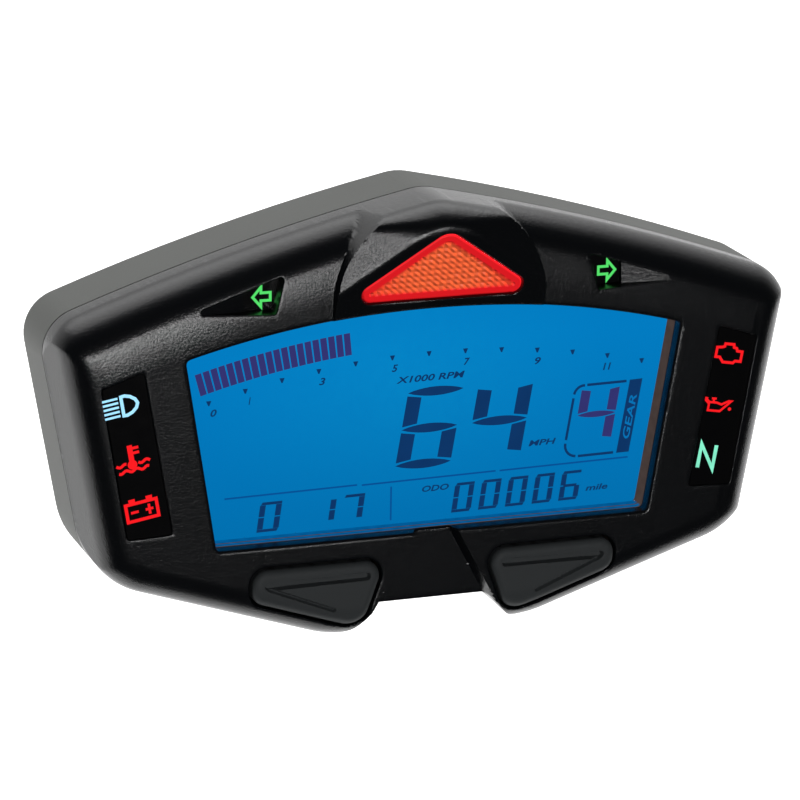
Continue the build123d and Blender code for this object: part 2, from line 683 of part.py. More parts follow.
for side in SIDES:
    sign = 1 if side == "right" else -1
    with BuildPart() as turn_window:
        with BuildSketch(at_depth(TURN_RECESS + CLEAR + BOX_WALL)):
            add(TURN_PLATE[side])
        extrude(amount=BOX_WALL)
    save(turn_window, f"{side}_turn_window")

    with BuildPart() as turn_light_box:
        with BuildSketch(at_depth(BOARD_FRONT - CLEAR)):
            add(TURN_PLATE[side])
            add(TURN_ROOM[side], mode=Mode.SUBTRACT)
        extrude(amount=BOARD_FRONT - TURN_RECESS - BOX_WALL - 3 * CLEAR)
    save(turn_light_box, f"{side}_turn_light_box")

    with BuildPart() as strip_lens:
        with BuildSketch(at_depth(FLANGE_BACK)):
            add(STRIP_PANE[side])
        extrude(amount=FLANGE_BACK - STRIP_DROP)
        with BuildSketch(at_depth(FLANGE_BACK)):
            add(STRIP_FLANGE[side])
        extrude(amount=FLANGE_BACK - WALL - CLEAR)
    save(strip_lens, f"{side}_strip_lens")

    with BuildPart() as strip_film:
        with BuildSketch(at_depth(FLANGE_BACK + FILM)):
            add(STRIP_PANE[side])
        extrude(amount=FILM)
    save(strip_film, f"{side}_strip_film")

    with BuildPart() as strip_light_box:
        with BuildSketch(at_depth(BOARD_FRONT - CLEAR)):
            add(STRIP_FLANGE[side])
            add(STRIP_ROOM[side], mode=Mode.SUBTRACT)
            for upper, lower in zip(STRIP_SPOTS, STRIP_SPOTS[1:]):
                with Locations((sign * (upper[0] + lower[0]) / 2, (upper[1] + lower[1]) / 2)):
                    Rectangle(8.0, BOX_WALL)
        extrude(amount=BOARD_FRONT - FLANGE_BACK - FILM - 2 * CLEAR)
    save(strip_light_box, f"{side}_strip_light_box")

# ---- rubber keys and their switches ----
key_dome = domed_case(KEY_PROUD, RIM_RADIUS + KEY_PROUD)
for side in SIDES:
    centre = (SWITCH_CENTRE[0] if side == "right" else -SWITCH_CENTRE[0], SWITCH_CENTRE[1])
    with BuildPart() as key:
        with BuildSketch(at_depth(KEY_BACK)):
            add(KEY[side])
        extrude(amount=KEY_BACK + KEY_PROUD + 1)
        add(key_dome, mode=Mode.INTERSECT)
        with BuildSketch(at_depth(KEY_GROOVE_DEPTH - KEY_PROUD)):
            add(KEY_GROOVES[side])
        extrude(amount=2, mode=Mode.SUBTRACT)
        with BuildSketch(at_depth(FLANGE_BACK + 0.2)):
            add(KEY_FLANGE[side])
        extrude(amount=0.9)
        with BuildSketch(at_depth(STEM_END)):
            with Locations(centre):
                RectangleRounded(STEM, STEM, STEM_ROUND)
        extrude(amount=STEM_END - KEY_BACK + 1)
    save(key, f"{side}_key")

    with BuildPart() as switch:
        with BuildSketch(at_depth(BOARD_FRONT)):
            with Locations(centre):
                RectangleRounded(SWITCH_WIDTH, SWITCH_WIDTH, 0.5)
        extrude(amount=SWITCH_HEIGHT)
        with BuildSketch(at_depth(BOARD_FRONT - 1.2)):
            with Locations(centre):
                Circle(PLUNGER_BORE)
        extrude(amount=SWITCH_HEIGHT, mode=Mode.SUBTRACT)
    save(switch, f"{side}_switch")

    with BuildPart() as plunger:
        with BuildSketch(at_depth(BOARD_FRONT - 1.2 - PLUNGER_TRAVEL - 0.1)):
            with Locations(centre):
                Circle(PLUNGER_RADIUS)
        extrude(amount=SWITCH_HEIGHT - 1.3 - PLUNGER_TRAVEL + PLUNGER_PROUD)
    save(plunger, f"{side}_plunger")

# ---- main board and what is soldered to its back ----
board_holes = [
    discs(CASE_SCREWS, REAR_BOSS + 0.4, PARTING_DEPTH, BACK_DEPTH),
    discs(BOARD_SCREWS, BOARD_SCREW + 0.15, PARTING_DEPTH, BACK_DEPTH),
]
with BuildPart() as main_board:
    with BuildSketch(at_depth(BOARD_BACK)):
        add(BOARD)
    extrude(amount=BOARD_BACK - BOARD_FRONT)
    add(board_holes, mode=Mode.SUBTRACT)
save(main_board, "main_board")


def chip(centre, width, height, thickness, leads, leaded_sides):
    """A moulded chip with leads on two or four sides."""
    with BuildPart() as body:
        with BuildSketch(at_depth(BOARD_BACK + thickness)):
            with Locations(centre):
                RectangleRounded(width, height, 0.4)
        extrude(amount=thickness - 0.1)
        with BuildSketch(at_depth(BOARD_BACK + 0.4)):
            with Locations(centre):
                with GridLocations(width / (leads + 1), height + 0.8, leads, 2):
                    Rectangle(0.5, 1.2)
                if leaded_sides == 4:
                    with GridLocations(width + 0.8, height / (leads + 1), 2, leads):
                        Rectangle(1.2, 0.5)
        extrude(amount=0.4)
    return body.part


can_place, can_width, can_height, can_rise = CRYSTAL
soldered = [
    ("microcontroller", [chip(*values) for values in MICROCONTROLLER]),
    ("driver_chips", [chip(*values) for values in DRIVER_CHIPS]),
    ("voltage_regulator", [chip(*values) for values in VOLTAGE_REGULATOR]),
    ("capacitors", [discs(CAPACITOR_SPOTS, CAPACITOR_RADIUS, BOARD_BACK, BACK_DEPTH - WALL - 0.3)]),
    ("crystal", [boxes([can_place], can_width, can_height, BOARD_BACK, BOARD_BACK + can_rise)]),
]
for name, chips in soldered:
    with BuildPart() as group:
        add(chips)
    save(group, name)

# ---- connector ----
with BuildPart() as connector_header:
    with BuildSketch(at_depth(PLUG_END)):
        add(PLUG)
    extrude(amount=PLUG_END - BOARD_BACK)
    with BuildSketch(at_depth(PLUG_END)):
        add(PLUG_SOCKET)
    extrude(amount=PLUG_END - PLUG_FLOOR, mode=Mode.SUBTRACT)
    add(pin_holes, mode=Mode.SUBTRACT)
save(connector_header, "connector_header")

with BuildPart() as connector_pins:
    with BuildSketch(at_depth(PIN_END)):
        with Locations(*PIN_SPOTS):
            Circle(PIN_RADIUS)
    extrude(amount=PIN_END - BOARD_BACK)
    chamfer(connector_pins.faces().group_by(Axis.Y)[-1].edges(), 0.15)
save(connector_pins, "connector_pins")

# ---- screws ----
def screws(spots, shank, tip_depth, head, head_front, head_height):
    """Pan-head screws driven from the back, with a cross cut in each head."""
    with BuildSketch() as cross:
        with Locations(*spots):
            Rectangle(head * 1.1, 0.5)
            Rectangle(0.5, head * 1.1)
    slots = slab(cross.sketch, head_front + head_height / 2, head_front + head_height)
    shanks = discs(spots, shank, tip_depth, head_front)
    return shanks + discs(spots, head, head_front, head_front + head_height) - slots


case_head_front = BACK_DEPTH - CASE_HEAD_HEIGHT - 0.2
case_screws = screws(CASE_SCREWS, CASE_SCREW, CASE_SCREW_TIP, CASE_HEAD, case_head_front, CASE_HEAD_HEIGHT)
board_screws = screws(BOARD_SCREWS, BOARD_SCREW, BOARD_SCREW_TIP, BOARD_HEAD, BOARD_BACK, BOARD_HEAD_HEIGHT)
for name, group_of_screws in (("case_screws", case_screws), ("board_screws", board_screws)):
    with BuildPart() as group:
        add(group_of_screws)
    save(group, name)
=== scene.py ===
"""Looks for the motorcycle instrument cluster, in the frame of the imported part.

Outlines are drawn in millimetres in the front view: x to the right and z up. Depths run from the face plane
of the front cover towards the back, as in the part's source.
"""

import json
from math import atan2, ceil, cos, hypot, inf, pi, radians, sin, tan

import bpy
import numpy as np
from mathutils import Matrix, Vector
from mathutils.geometry import delaunay_2d_cdt


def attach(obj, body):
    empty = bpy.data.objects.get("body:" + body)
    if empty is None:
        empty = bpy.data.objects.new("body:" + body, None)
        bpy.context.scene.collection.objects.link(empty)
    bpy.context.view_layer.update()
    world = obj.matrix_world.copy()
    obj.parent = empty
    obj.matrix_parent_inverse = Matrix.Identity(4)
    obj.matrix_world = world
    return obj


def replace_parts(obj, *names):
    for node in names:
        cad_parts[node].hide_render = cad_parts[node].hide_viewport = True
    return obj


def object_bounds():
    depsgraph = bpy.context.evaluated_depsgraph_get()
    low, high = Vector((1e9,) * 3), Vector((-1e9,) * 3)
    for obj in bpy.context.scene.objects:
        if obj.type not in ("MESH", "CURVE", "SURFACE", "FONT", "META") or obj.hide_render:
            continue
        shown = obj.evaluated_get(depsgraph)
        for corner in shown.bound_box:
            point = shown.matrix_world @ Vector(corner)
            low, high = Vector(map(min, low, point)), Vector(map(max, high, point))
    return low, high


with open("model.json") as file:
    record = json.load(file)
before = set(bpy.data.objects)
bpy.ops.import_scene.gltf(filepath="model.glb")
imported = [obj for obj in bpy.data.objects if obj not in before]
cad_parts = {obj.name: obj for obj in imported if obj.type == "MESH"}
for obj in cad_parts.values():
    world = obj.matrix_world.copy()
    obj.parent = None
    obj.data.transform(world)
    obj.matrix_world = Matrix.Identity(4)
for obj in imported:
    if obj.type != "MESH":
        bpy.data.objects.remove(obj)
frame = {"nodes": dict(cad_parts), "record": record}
CAD_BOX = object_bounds()

MM = 0.001
CASE_DEPTH = 32.0
PARTING_DEPTH = 9.9
WALL = 2.4
RIM_RADIUS = 5.5
LCD_DEPTH = 5.0
SIDE_LEAN = 2.6
CREST_FALL = 0.30
CREST_FALL_WIDTH = 11.0
STEP = 0.45
GRID_LOW, GRID_HIGH = (-64, -36), (64, 38)


# ---------------------------------------------------------------- camera
CAMERA_TARGET, CAMERA_DISTANCE, CAMERA_LENS = (-6.48, -CASE_DEPTH, 4.62), 0.6463, 182.66
CAMERA_ANGLES = -19.5, 16.34, 0.8


def aim_camera():
    azimuth, elevation, roll = map(radians, CAMERA_ANGLES)
    back = Vector((sin(azimuth) * cos(elevation), -cos(azimuth) * cos(elevation), sin(elevation)))
    right = Vector((cos(azimuth), sin(azimuth), 0))
    up = back.cross(right)
    across = right * cos(roll) + up * sin(roll)
    upward = up * cos(roll) - right * sin(roll)
    target = Vector(CAMERA_TARGET) * MM
    data = bpy.data.cameras.new("camera")
    data.sensor_width = 36
    data.lens = CAMERA_LENS
    camera = bpy.data.objects.new("camera", data)
    bpy.context.scene.collection.objects.link(camera)
    turned = Matrix((across, upward, back)).transposed().to_4x4()
    camera.matrix_world = Matrix.Translation(target + back * CAMERA_DISTANCE) @ turned
    bpy.context.scene.camera = camera


aim_camera()


# ---------------------------------------------------------------- outlines
def line(a, b):
    return [tuple(a), tuple(b)]


def arc_through(a, middle, b, count=48):
    """Points on the circle from a through the middle point to b."""
    (ax, ay), (bx, by), (cx, cy) = a, middle, b
    d = 2 * (ax * (by - cy) + bx * (cy - ay) + cx * (ay - by))
    ux = ((ax**2 + ay**2) * (by - cy) + (bx**2 + by**2) * (cy - ay) + (cx**2 + cy**2) * (ay - by)) / d
    uy = ((ax**2 + ay**2) * (cx - bx) + (bx**2 + by**2) * (ax - cx) + (cx**2 + cy**2) * (bx - ax)) / d
    radius = hypot(ax - ux, ay - uy)
    start, end = atan2(ay - uy, ax - ux), atan2(cy - uy, cx - ux)
    turn = (end - start + pi) % (2 * pi) - pi
    return [
        (ux + radius * cos(start + turn * k / count), uy + radius * sin(start + turn * k / count))
        for k in range(count + 1)
    ]


def cross(a, b):
    return a[0] * b[1] - a[1] * b[0]


def join(first, second, radius):
    """Trims two paths that meet at a corner and returns them with the arc that rounds it."""
    a, b = np.array(first, float), np.array(second, float)
    side = 1 if cross(a[-1] - a[-2], b[1] - b[0]) > 0 else -1

    def shifted(path):
        run = np.diff(path, axis=0)
        normal = np.stack([-run[:, 1], run[:, 0]], 1) / np.linalg.norm(run, axis=1)[:, None]
        return path[:-1] + side * radius * normal, run

    (start_a, run_a), (start_b, run_b) = shifted(a), shifted(b)
    best = None
    for i in range(len(run_a)):
        for j in range(len(run_b)):
            denominator = cross(run_a[i], run_b[j])
            if abs(denominator) < 1e-12:
                continue
            u = cross(start_b[j] - start_a[i], run_b[j]) / denominator
            v = cross(start_b[j] - start_a[i], run_a[i]) / denominator
            miss = max(-u, u - 1, -v, v - 1, 0)
            if best is None or miss < best[0]:
                best = (miss, i, j, u, v)
    _, i, j, u, v = best
    centre = start_a[i] + run_a[i] * u
    foot_a, foot_b = a[i] + run_a[i] * u, b[j] + run_b[j] * v
    start = atan2(*(foot_a - centre)[::-1])
    turn = (atan2(*(foot_b - centre)[::-1]) - start + pi) % (2 * pi) - pi
    count = max(4, ceil(abs(turn) * max(radius, 0.6) / 0.3))
    arc = [
        tuple(centre + radius * np.array((cos(start + turn * k / count), sin(start + turn * k / count))))
        for k in range(count + 1)
    ]
    before = [tuple(p) for p in a[: i + 1]] + [tuple(foot_a)]
    after = [tuple(foot_b)] + [tuple(p) for p in b[j + 1 :]]
    return before, arc, after


def closed(pieces, radii):
    """A closed counter-clockwise path from pieces, with its corner after piece k rounded to radii[k]."""
    pieces = [list(p) for p in pieces]
    arcs = [[] for _ in pieces]
    for k, radius in enumerate(radii):
        following = (k + 1) % len(pieces)
        if radius > 0:
            pieces[k], arcs[k], pieces[following] = join(pieces[k], pieces[following], radius)
    points = []
    for piece, arc in zip(pieces, arcs):
        for p in piece + arc:
            if not points or hypot(p[0] - points[-1][0], p[1] - points[-1][1]) > 1e-4:
                points.append(p)
    if hypot(points[0][0] - points[-1][0], points[0][1] - points[-1][1]) < 1e-4:
        points.pop()
    return points


def resampled(points, step):
    """A closed path with its long runs split, so that no run is longer than the step."""
    made = []
    for a, b in zip(points, points[1:] + points[:1]):
        count = max(1, ceil(hypot(b[0] - a[0], b[1] - a[1]) / step))
        made += [(a[0] + (b[0] - a[0]) * k / count, a[1] + (b[1] - a[1]) * k / count) for k in range(count)]
    return made


def polygon(corners, radii, grow=0.0):
    """A convex counter-clockwise polygon, moved outwards all round, with rounded corners."""
    count = len(corners)
    lines = []
    for k in range(count):
        a, b = np.array(corners[k], float), np.array(corners[(k + 1) % count], float)
        run = (b - a) / np.linalg.norm(b - a)
        lines.append((a + grow * np.array((run[1], -run[0])), run))
    moved = []
    for k in range(count):
        (a, run_a), (b, run_b) = lines[k - 1], lines[k]
        moved.append(a + run_a * cross(b - a, run_b) / cross(run_a, run_b))
    pieces = [line(moved[k], moved[(k + 1) % count]) for k in range(count)]
    radii = [max(r + grow, 0.02) for r in radii]
    return closed(pieces, radii[1:] + radii[:1])


def counter_clockwise(points):
    area = sum(cross(a, b) for a, b in zip(points, points[1:] + points[:1]))
    return list(points) if area > 0 else list(points)[::-1]


def flipped(points):
    """The mirror image on the left, still counter-clockwise."""
    return [(-x, z) for x, z in points][::-1]


PEAK, CREST_MIDDLE, SHOULDER = (0, 37.0), (30, 29.75), (63.3, 18.7)
LOWER_CORNER, POD_FOOT = (56.0, -22.5), (17.2, -35.3)
NOTCH_TOP, WINDOW_FOOT = -30.0, -18.0


def mirror(p):
    return (-p[0], p[1])


def whole_outline():
    pieces = [
        line(mirror(POD_FOOT), POD_FOOT),
        line(POD_FOOT, LOWER_CORNER),
        line(LOWER_CORNER, SHOULDER),
        arc_through(SHOULDER, CREST_MIDDLE, PEAK),
        arc_through(PEAK, mirror(CREST_MIDDLE), mirror(SHOULDER)),
        line(mirror(SHOULDER), mirror(LOWER_CORNER)),
        line(mirror(LOWER_CORNER), mirror(POD_FOOT)),
    ]
    return closed(pieces, [20, 13, 7, 9, 7, 13, 20])


def case_outline():
    """The whole outline with the gap between the two pods."""
    half, flare, foot, pod_start = 9.6, 5.6, POD_FOOT[1], 17.0
    corner = (half, NOTCH_TOP)
    tip = (half + flare * (NOTCH_TOP - foot) / (NOTCH_TOP - foot + 1), foot)
    sides = [p for p in WHOLE if not (abs(p[0]) < pod_start and p[1] < NOTCH_TOP)]
    away = [hypot(x - pod_start, z - foot) if x > 0 else inf for x, z in sides]
    start = away.index(min(away))
    sides = sides[start:] + sides[:start]
    pod = join(line(corner, tip), [tip, (sides[0][0] - 0.01, sides[0][1]), sides[0]], 4.0)
    notch = join(line(mirror(corner), corner), pod[0], 2.0)
    path = [(0, NOTCH_TOP)] + notch[0][1:] + notch[1] + notch[2] + pod[1] + pod[2][:-1]
    path = [path[0]] + [b for a, b in zip(path, path[1:]) if hypot(b[0] - a[0], b[1] - a[1]) > 1e-3]
    return path + sides + [mirror(p) for p in path[1:]][::-1]


WHOLE = whole_outline()
CASE = case_outline()


def window_outline(grow=0.0):
    shoulder, corner = (41.8 + grow, 13.7 + grow), (36.8 + grow, -18.0 - grow)
    pieces = [
        line(mirror(corner), corner),
        line(corner, shoulder),
        arc_through(shoulder, (0, 19.4 + grow), mirror(shoulder), 64),
        line(mirror(shoulder), mirror(corner)),
    ]
    return closed(pieces, [0.8 + grow / 2] * 4)


def lamp_outline(grow=0.0):
    """The warning lens: a rounded triangle with a slightly arched foot."""
    (corner_x, corner_z), top, sag = (16.7, 21.1), 32.9, 21.2
    slope = (top - corner_z) / corner_x
    top += grow * hypot(1, slope)
    low = corner_z - grow
    tip = (top - low) / slope
    foot = arc_through((-tip, low), (0, sag - grow), (tip, low), 24)
    flanks = [line((tip, low), (0, top)), line((0, top), (-tip, low))]
    return closed([foot, *flanks], [1.5 + grow, 3.0 + grow, 1.5 + grow])


TURN_CORNERS = [(41.3, 21.0), (25.6, 26.3), (27.2, 20.2)]
TURN_RAMP, TURN_BACK = ((31.8, 2.3), (41.3, 0.1)), 3.1
STRIP_CORNERS = [(48.65, 12.6), (44.1, -14.4), (51.5, -14.7), (55.5, 10.3)]
KEY_CORNERS = [(31.0, -21.8), (8.5, -21.9), (12.6, -33.5), (31.0, -27.3)]
KEY_ROUNDS = [2.6, 2.6, 3.2, 2.6]


def turn_outline(grow=0.0):
    return polygon(TURN_CORNERS, [0.5] * 3, grow)


def strip_outline(grow=0.0):
    return polygon(STRIP_CORNERS, [0.5] * 4, grow)


def key_outline(grow=0.0):
    return polygon(KEY_CORNERS, KEY_ROUNDS, grow)


def both_sides(outline):
    return [outline, lambda grow=0.0: flipped(outline(grow))]


# ---------------------------------------------------------------- distances and depths
def distance_to(loop, x, z):
    """How far each point is from a closed path."""
    a = np.array(loop, float)
    run = np.roll(a, -1, 0) - a
    length2 = np.maximum((run**2).sum(1), 1e-12)
    made = np.empty(len(x))
    for start in range(0, len(x), 4000):
        p = np.stack([x[start : start + 4000], z[start : start + 4000]], 1)[:, None, :]
        t = np.clip(((p - a) * run).sum(2) / length2, 0, 1)
        made[start : start + 4000] = np.sqrt((((p - a) - t[..., None] * run) ** 2).sum(2).min(1))
    return made


def inside(loop, x, z):
    a = np.array(loop, float)
    b = np.roll(a, -1, 0)
    made = np.zeros(len(x), bool)
    for (ax, az), (bx, bz) in zip(a, b):
        if az == bz:
            continue
        crossing = ((az > z) != (bz > z)) & (x < (bx - ax) * (z - az) / (bz - az) + ax)
        made ^= crossing
    return made


def signed_distance(loop, x, z):
    d = distance_to(loop, x, z)
    return np.where(inside(loop, x, z), d, -d)


def rounding(distance, radius):
    """How far a quarter round drops at a distance inside the edge."""
    short = np.clip(radius - distance, 0, radius)
    return radius - np.sqrt(np.maximum(radius**2 - short**2, 0))


def soft_max(a, b, width):
    near = np.maximum(width - np.abs(a - b), 0) / width
    return np.maximum(a, b) + near**2 * width / 4


def soft_min(a, b, width):
    return -soft_max(-a, -b, width)


HOOD_TILT, HOOD_ROOT, HOOD_RADIUS = radians(16.5), 17.5, 17.7
HOOD_CENTRE, HOOD_REACH = (0, 20.0), 5.4
FACET_NORMAL = Vector((0, -cos(HOOD_TILT), -sin(HOOD_TILT)))
FLANK_POINT, FLANK_SLOPE = (10.9, 27.7), -0.7


def facet_depth(z):
    return -(z - HOOD_ROOT) * tan(HOOD_TILT)


def flank_depth(side, x, z):
    """The plane that falls away from one upper edge of the hood's facet."""
    edge = Vector((side, -FLANK_SLOPE * tan(HOOD_TILT), FLANK_SLOPE))
    normal = Matrix.Rotation(radians(-30 * side), 3, edge) @ FACET_NORMAL
    run = normal.x * (x - side * FLANK_POINT[0]) + normal.z * (z - FLANK_POINT[1])
    return facet_depth(FLANK_POINT[1]) - run / normal.y


def side_depth(x, z):
    """The cover's two sides: they lean inwards from the parting plane to a rounded front edge."""
    run = np.array(SHOULDER) - np.array(LOWER_CORNER)
    run /= hypot(*run)
    inwards = (LOWER_CORNER[0] - np.abs(x)) * run[1] + (z - LOWER_CORNER[1]) * run[0]
    slope = SIDE_LEAN / PARTING_DEPTH
    lean = hypot(1, slope)
    middle = (PARTING_DEPTH - RIM_RADIUS) * slope + RIM_RADIUS * lean
    wall = PARTING_DEPTH - inwards / slope
    edge = RIM_RADIUS - np.sqrt(np.maximum(RIM_RADIUS**2 - np.clip(middle - inwards, 0, RIM_RADIUS) ** 2, 0))
    return np.where(inwards < middle - RIM_RADIUS / lean, wall, edge - np.maximum(inwards - middle, 0))


def crest_fall(x, z):
    """The face falls away a little towards the crest."""
    crest = PEAK[1] - 0.2 * np.abs(x) - 0.00145 * np.abs(x) ** 2
    short = np.clip(CREST_FALL_WIDTH - (crest - z) * 0.95, 0, CREST_FALL_WIDTH)
    return CREST_FALL * short**2 / CREST_FALL_WIDTH / 2


def front_depth(x, z):
    """The depth of the cover's front surface, before its openings' edges are rounded."""
    within = signed_distance(WHOLE, x, z)
    base = rounding(within, RIM_RADIUS) + crest_fall(x, z)
    hood = soft_max(facet_depth(z), soft_max(flank_depth(1, x, z), flank_depth(-1, x, z), 0.6), 0.25)
    hood = soft_max(hood, -HOOD_REACH + rounding(within, 6.5), 1.2)
    from_centre = np.hypot(x - HOOD_CENTRE[0], z - HOOD_CENTRE[1])
    hood = hood + np.maximum(from_centre - HOOD_RADIUS, 0) * 8.0
    depth = soft_min(base, hood, 0.25)
    depth = soft_max(depth, side_depth(x, z), 0.5)
    depth = np.maximum(depth, panel_depth(x, z))
    return np.minimum(depth, PARTING_DEPTH - 0.05)


PANEL_TOP, PANEL_FOOT, PANEL_WALL = (3.75, -18.0), (10.1, -30.0), 0.8
PANEL_DEPTH = 2.25


def panel_half_width(z):
    return PANEL_TOP[0] + (PANEL_TOP[1] - z) / (PANEL_TOP[1] - PANEL_FOOT[1]) * (PANEL_FOOT[0] - PANEL_TOP[0])


def panel_depth(x, z):
    """The V panel between the pods: a flat floor between two leaning walls."""
    inwards = (panel_half_width(z) - np.abs(x)) * 0.88
    return np.where(z < PANEL_TOP[1] + 1.0, PANEL_DEPTH * np.clip(inwards / PANEL_WALL, 0, 1), -HOOD_REACH)


def ramp_depth(x):
    """The floor of a turn window's outer end, which rises to its tip."""
    (start, low), (tip, high) = TURN_RAMP
    return low + (np.abs(x) - start) / (tip - start) * (high - low)


# ---------------------------------------------------------------- materials
def new_material(name):
    material = bpy.data.materials.new(name)
    material.use_nodes = True
    material.node_tree.nodes.clear()
    return material, material.node_tree


def add_node(tree, kind, inputs=(), out=0, **settings):
    """Adds a node and returns one of its outputs. An input gets a value or the output that feeds it."""
    node = tree.nodes.new("ShaderNode" + kind)
    for name, value in settings.items():
        setattr(node, name, value)
    for name, value in dict(inputs).items():
        if isinstance(value, bpy.types.NodeSocket):
            tree.links.new(value, node.inputs[name])
        else:
            node.inputs[name].default_value = value
    return node.outputs[out] if len(node.outputs) else None


def finished(material, surface):
    add_node(material.node_tree, "OutputMaterial", {"Surface": surface})
    return material


def noise(tree, size, **inputs):
    """Noise in the piece's own space, with its size in millimetres."""
    place = add_node(tree, "TexCoord", out="Object")
    return add_node(tree, "TexNoise", {"Vector": place, "Scale": 1 / (size * MM), **inputs}, out="Fac")


def ranged(tree, value, low, high, start=0.0, end=1.0, **settings):
    """Maps a value between start and end to one between low and high."""
    inputs = {"Value": value, "From Min": start, "From Max": end, "To Min": low, "To Max": high}
    return add_node(tree, "MapRange", inputs, **settings)


def mixed(tree, share, first, second):
    """A colour between two colours."""
    inputs = {"Factor": share, "A": (*first, 1), "B": (*second, 1)}
    return add_node(tree, "Mix", inputs, out="Result", data_type="RGBA")


def product(tree, first, second):
    return add_node(tree, "Math", {0: first, 1: second}, operation="MULTIPLY")


def round_patch(tree, location, width, height):
    """A patch that fades from its middle to nothing, wider or taller as wanted."""
    place = add_node(tree, "TexCoord", out="Object")
    inputs = {"Vector": place, "Location": location, "Scale": (1 / width, 0, 1 / height)}
    spot = add_node(tree, "Mapping", inputs)
    return add_node(tree, "TexGradient", {"Vector": spot}, out="Fac", gradient_type="SPHERICAL")


def grained(name, colour, roughness, grain, relief, specular=0.5, metallic=0.0, tint=0.0, rough_spread=0.08):
    """A plastic or metal with a fine procedural grain. Grain and relief are in millimetres."""
    material, tree = new_material(name)
    fleck = noise(tree, grain, Detail=3)
    surface = {
        "Base Color": (*colour, 1),
        "Metallic": metallic,
        "Specular IOR Level": specular,
        "Normal": add_node(tree, "Bump", {"Height": fleck, "Distance": relief * MM}),
        "Roughness": ranged(tree, fleck, roughness - rough_spread, roughness + rough_spread),
    }
    if tint:
        darker, lighter = [[min(1, c * (1 + change)) for c in colour] for change in (-tint, tint)]
        surface["Base Color"] = mixed(tree, noise(tree, TINT_SIZE), darker, lighter)
    return finished(material, add_node(tree, "BsdfPrincipled", surface))


def glow(name, colour, strength=1.0, variation=0.06, size=2.0):
    """A lit print: light with a little unevenness."""
    material, tree = new_material(name)
    power = ranged(tree, noise(tree, size), strength * (1 - variation), strength * (1 + variation))
    return finished(material, add_node(tree, "Emission", {"Color": (*colour, 1), "Strength": power}))


def clear(name, shine, roughness=0.03):
    """Clear plastic as a thin pane: it lets light straight through, and its front and back faces reflect."""
    material, tree = new_material(name)
    normal = add_node(tree, "NewGeometry", out="True Normal")
    facing = add_node(tree, "VectorMath", {0: normal}, operation="ABSOLUTE")
    flatness = add_node(tree, "SeparateXYZ", {"Vector": facing}, out="Y")
    share = product(tree, add_node(tree, "Fresnel", {"IOR": 1.0 + 0.49 * shine}), flatness)
    haze = ranged(tree, noise(tree, 6), roughness, roughness * 2)
    gloss = add_node(tree, "BsdfGlossy", {"Roughness": haze})
    through = add_node(tree, "BsdfTransparent")
    return finished(material, add_node(tree, "MixShader", {"Fac": share, 1: through, 2: gloss}))


def display_glow():
    """The lit display: blue, with a slightly paler patch above the middle and a deeper foot."""
    material, tree = new_material("display_glow")
    patch = round_patch(tree, (0.1, 0, -0.25), 0.036, 0.022)
    share = product(tree, patch, ranged(tree, noise(tree, 1.2), 0.6, 1.3))
    colour = mixed(tree, share, (0.0, 0.198, 0.53), (0.001, 0.235, 0.57))
    place = add_node(tree, "TexCoord", out="Object")
    height = add_node(tree, "SeparateXYZ", {"Vector": place}, out="Z")
    power = ranged(tree, height, 0.84, 1.04, -0.018, 0.012)
    return finished(material, add_node(tree, "Emission", {"Color": colour, "Strength": power}))


def lens_glow():
    """The lit red lens: orange prisms in a plain red border, with painted highlight and shade that make them
    brighter where they face up or right.
    """
    material, tree = new_material("warning_lens_glow")
    normal = add_node(tree, "NewGeometry", out="Normal")
    across, upwards = [add_node(tree, "SeparateXYZ", {"Vector": normal}, out=axis) for axis in "XZ"]
    # painted highlight and shade: the lens's light grows where its surface faces right and up
    power = add_node(tree, "Math", {0: across, 1: 0.55, 2: 1.02}, operation="MULTIPLY_ADD")
    power = add_node(tree, "Math", {0: upwards, 1: 0.75, 2: power}, operation="MULTIPLY_ADD")
    warmth = ranged(tree, round_patch(tree, (0, 0, -2.35), 0.014, 0.011), 0.35, 1.0, 0.0, 0.6)
    prism = add_node(tree, "Attribute", out="Fac", attribute_name="prism")
    colour = mixed(tree, product(tree, prism, warmth), (0.88, 0.012, 0.018), (0.90, 0.125, 0.038))
    light = add_node(tree, "Emission", {"Color": colour, "Strength": power})
    gloss = add_node(tree, "BsdfGlossy", {"Roughness": 0.35})
    return finished(material, add_node(tree, "MixShader", {"Fac": 0.02, 1: light, 2: gloss}))


def lining_glow():
    """The wall round the display, with painted light from the display: its own grey-brown glows, and its
    level foot carries a painted reflection of the display's blue.
    """
    material, tree = new_material("display_lining")
    normal = add_node(tree, "NewGeometry", out="Normal")
    upwards = add_node(tree, "SeparateXYZ", {"Vector": normal}, out="Z")
    # painted reflection of the display's blue where the wall faces up
    colour = mixed(tree, ranged(tree, upwards, 0, 1, 0.6, 0.9), (0.070, 0.050, 0.046), (0.0, 0.12, 0.36))
    # painted light: the wall glows unevenly though it is no lamp
    power = ranged(tree, noise(tree, 1.5), 0.6, 1.1)
    return finished(material, add_node(tree, "Emission", {"Color": colour, "Strength": power}))


TINT_SIZE = 25
COVER_COLOUR = (0.0022, 0.0028, 0.0038)
COVER = grained("cover_plastic", COVER_COLOUR, 0.23, 0.30, 0.045, specular=0.45, rough_spread=0.06)
RUBBER = grained("key_rubber", (0.030, 0.034, 0.036), 0.66, 0.25, 0.012, specular=0.35)
LCD_GLOW = display_glow()
LENS_GLOW = lens_glow()
SEGMENT = glow("segment_dark", (0.004, 0.036, 0.135), 1.0, 0.12, 4.0)
SEGMENT_WARM = glow("segment_purple", (0.034, 0.034, 0.165), 1.0, 0.10, 3.0)
SEGMENT_FAINT = glow("segment_faint", (0.002, 0.075, 0.29), 1.0, 0.06, 3.0)
LCD_TEXT = glow("segment_cutout", (0.002, 0.17, 0.47), 1.0, 0.05, 3.0)
RED_PRINT = glow("print_red", (0.95, 0.012, 0.016), 1.05, 0.10, 0.8)
GREEN_PRINT = glow("print_green", (0.10, 0.80, 0.16), 0.95, 0.10, 0.8)
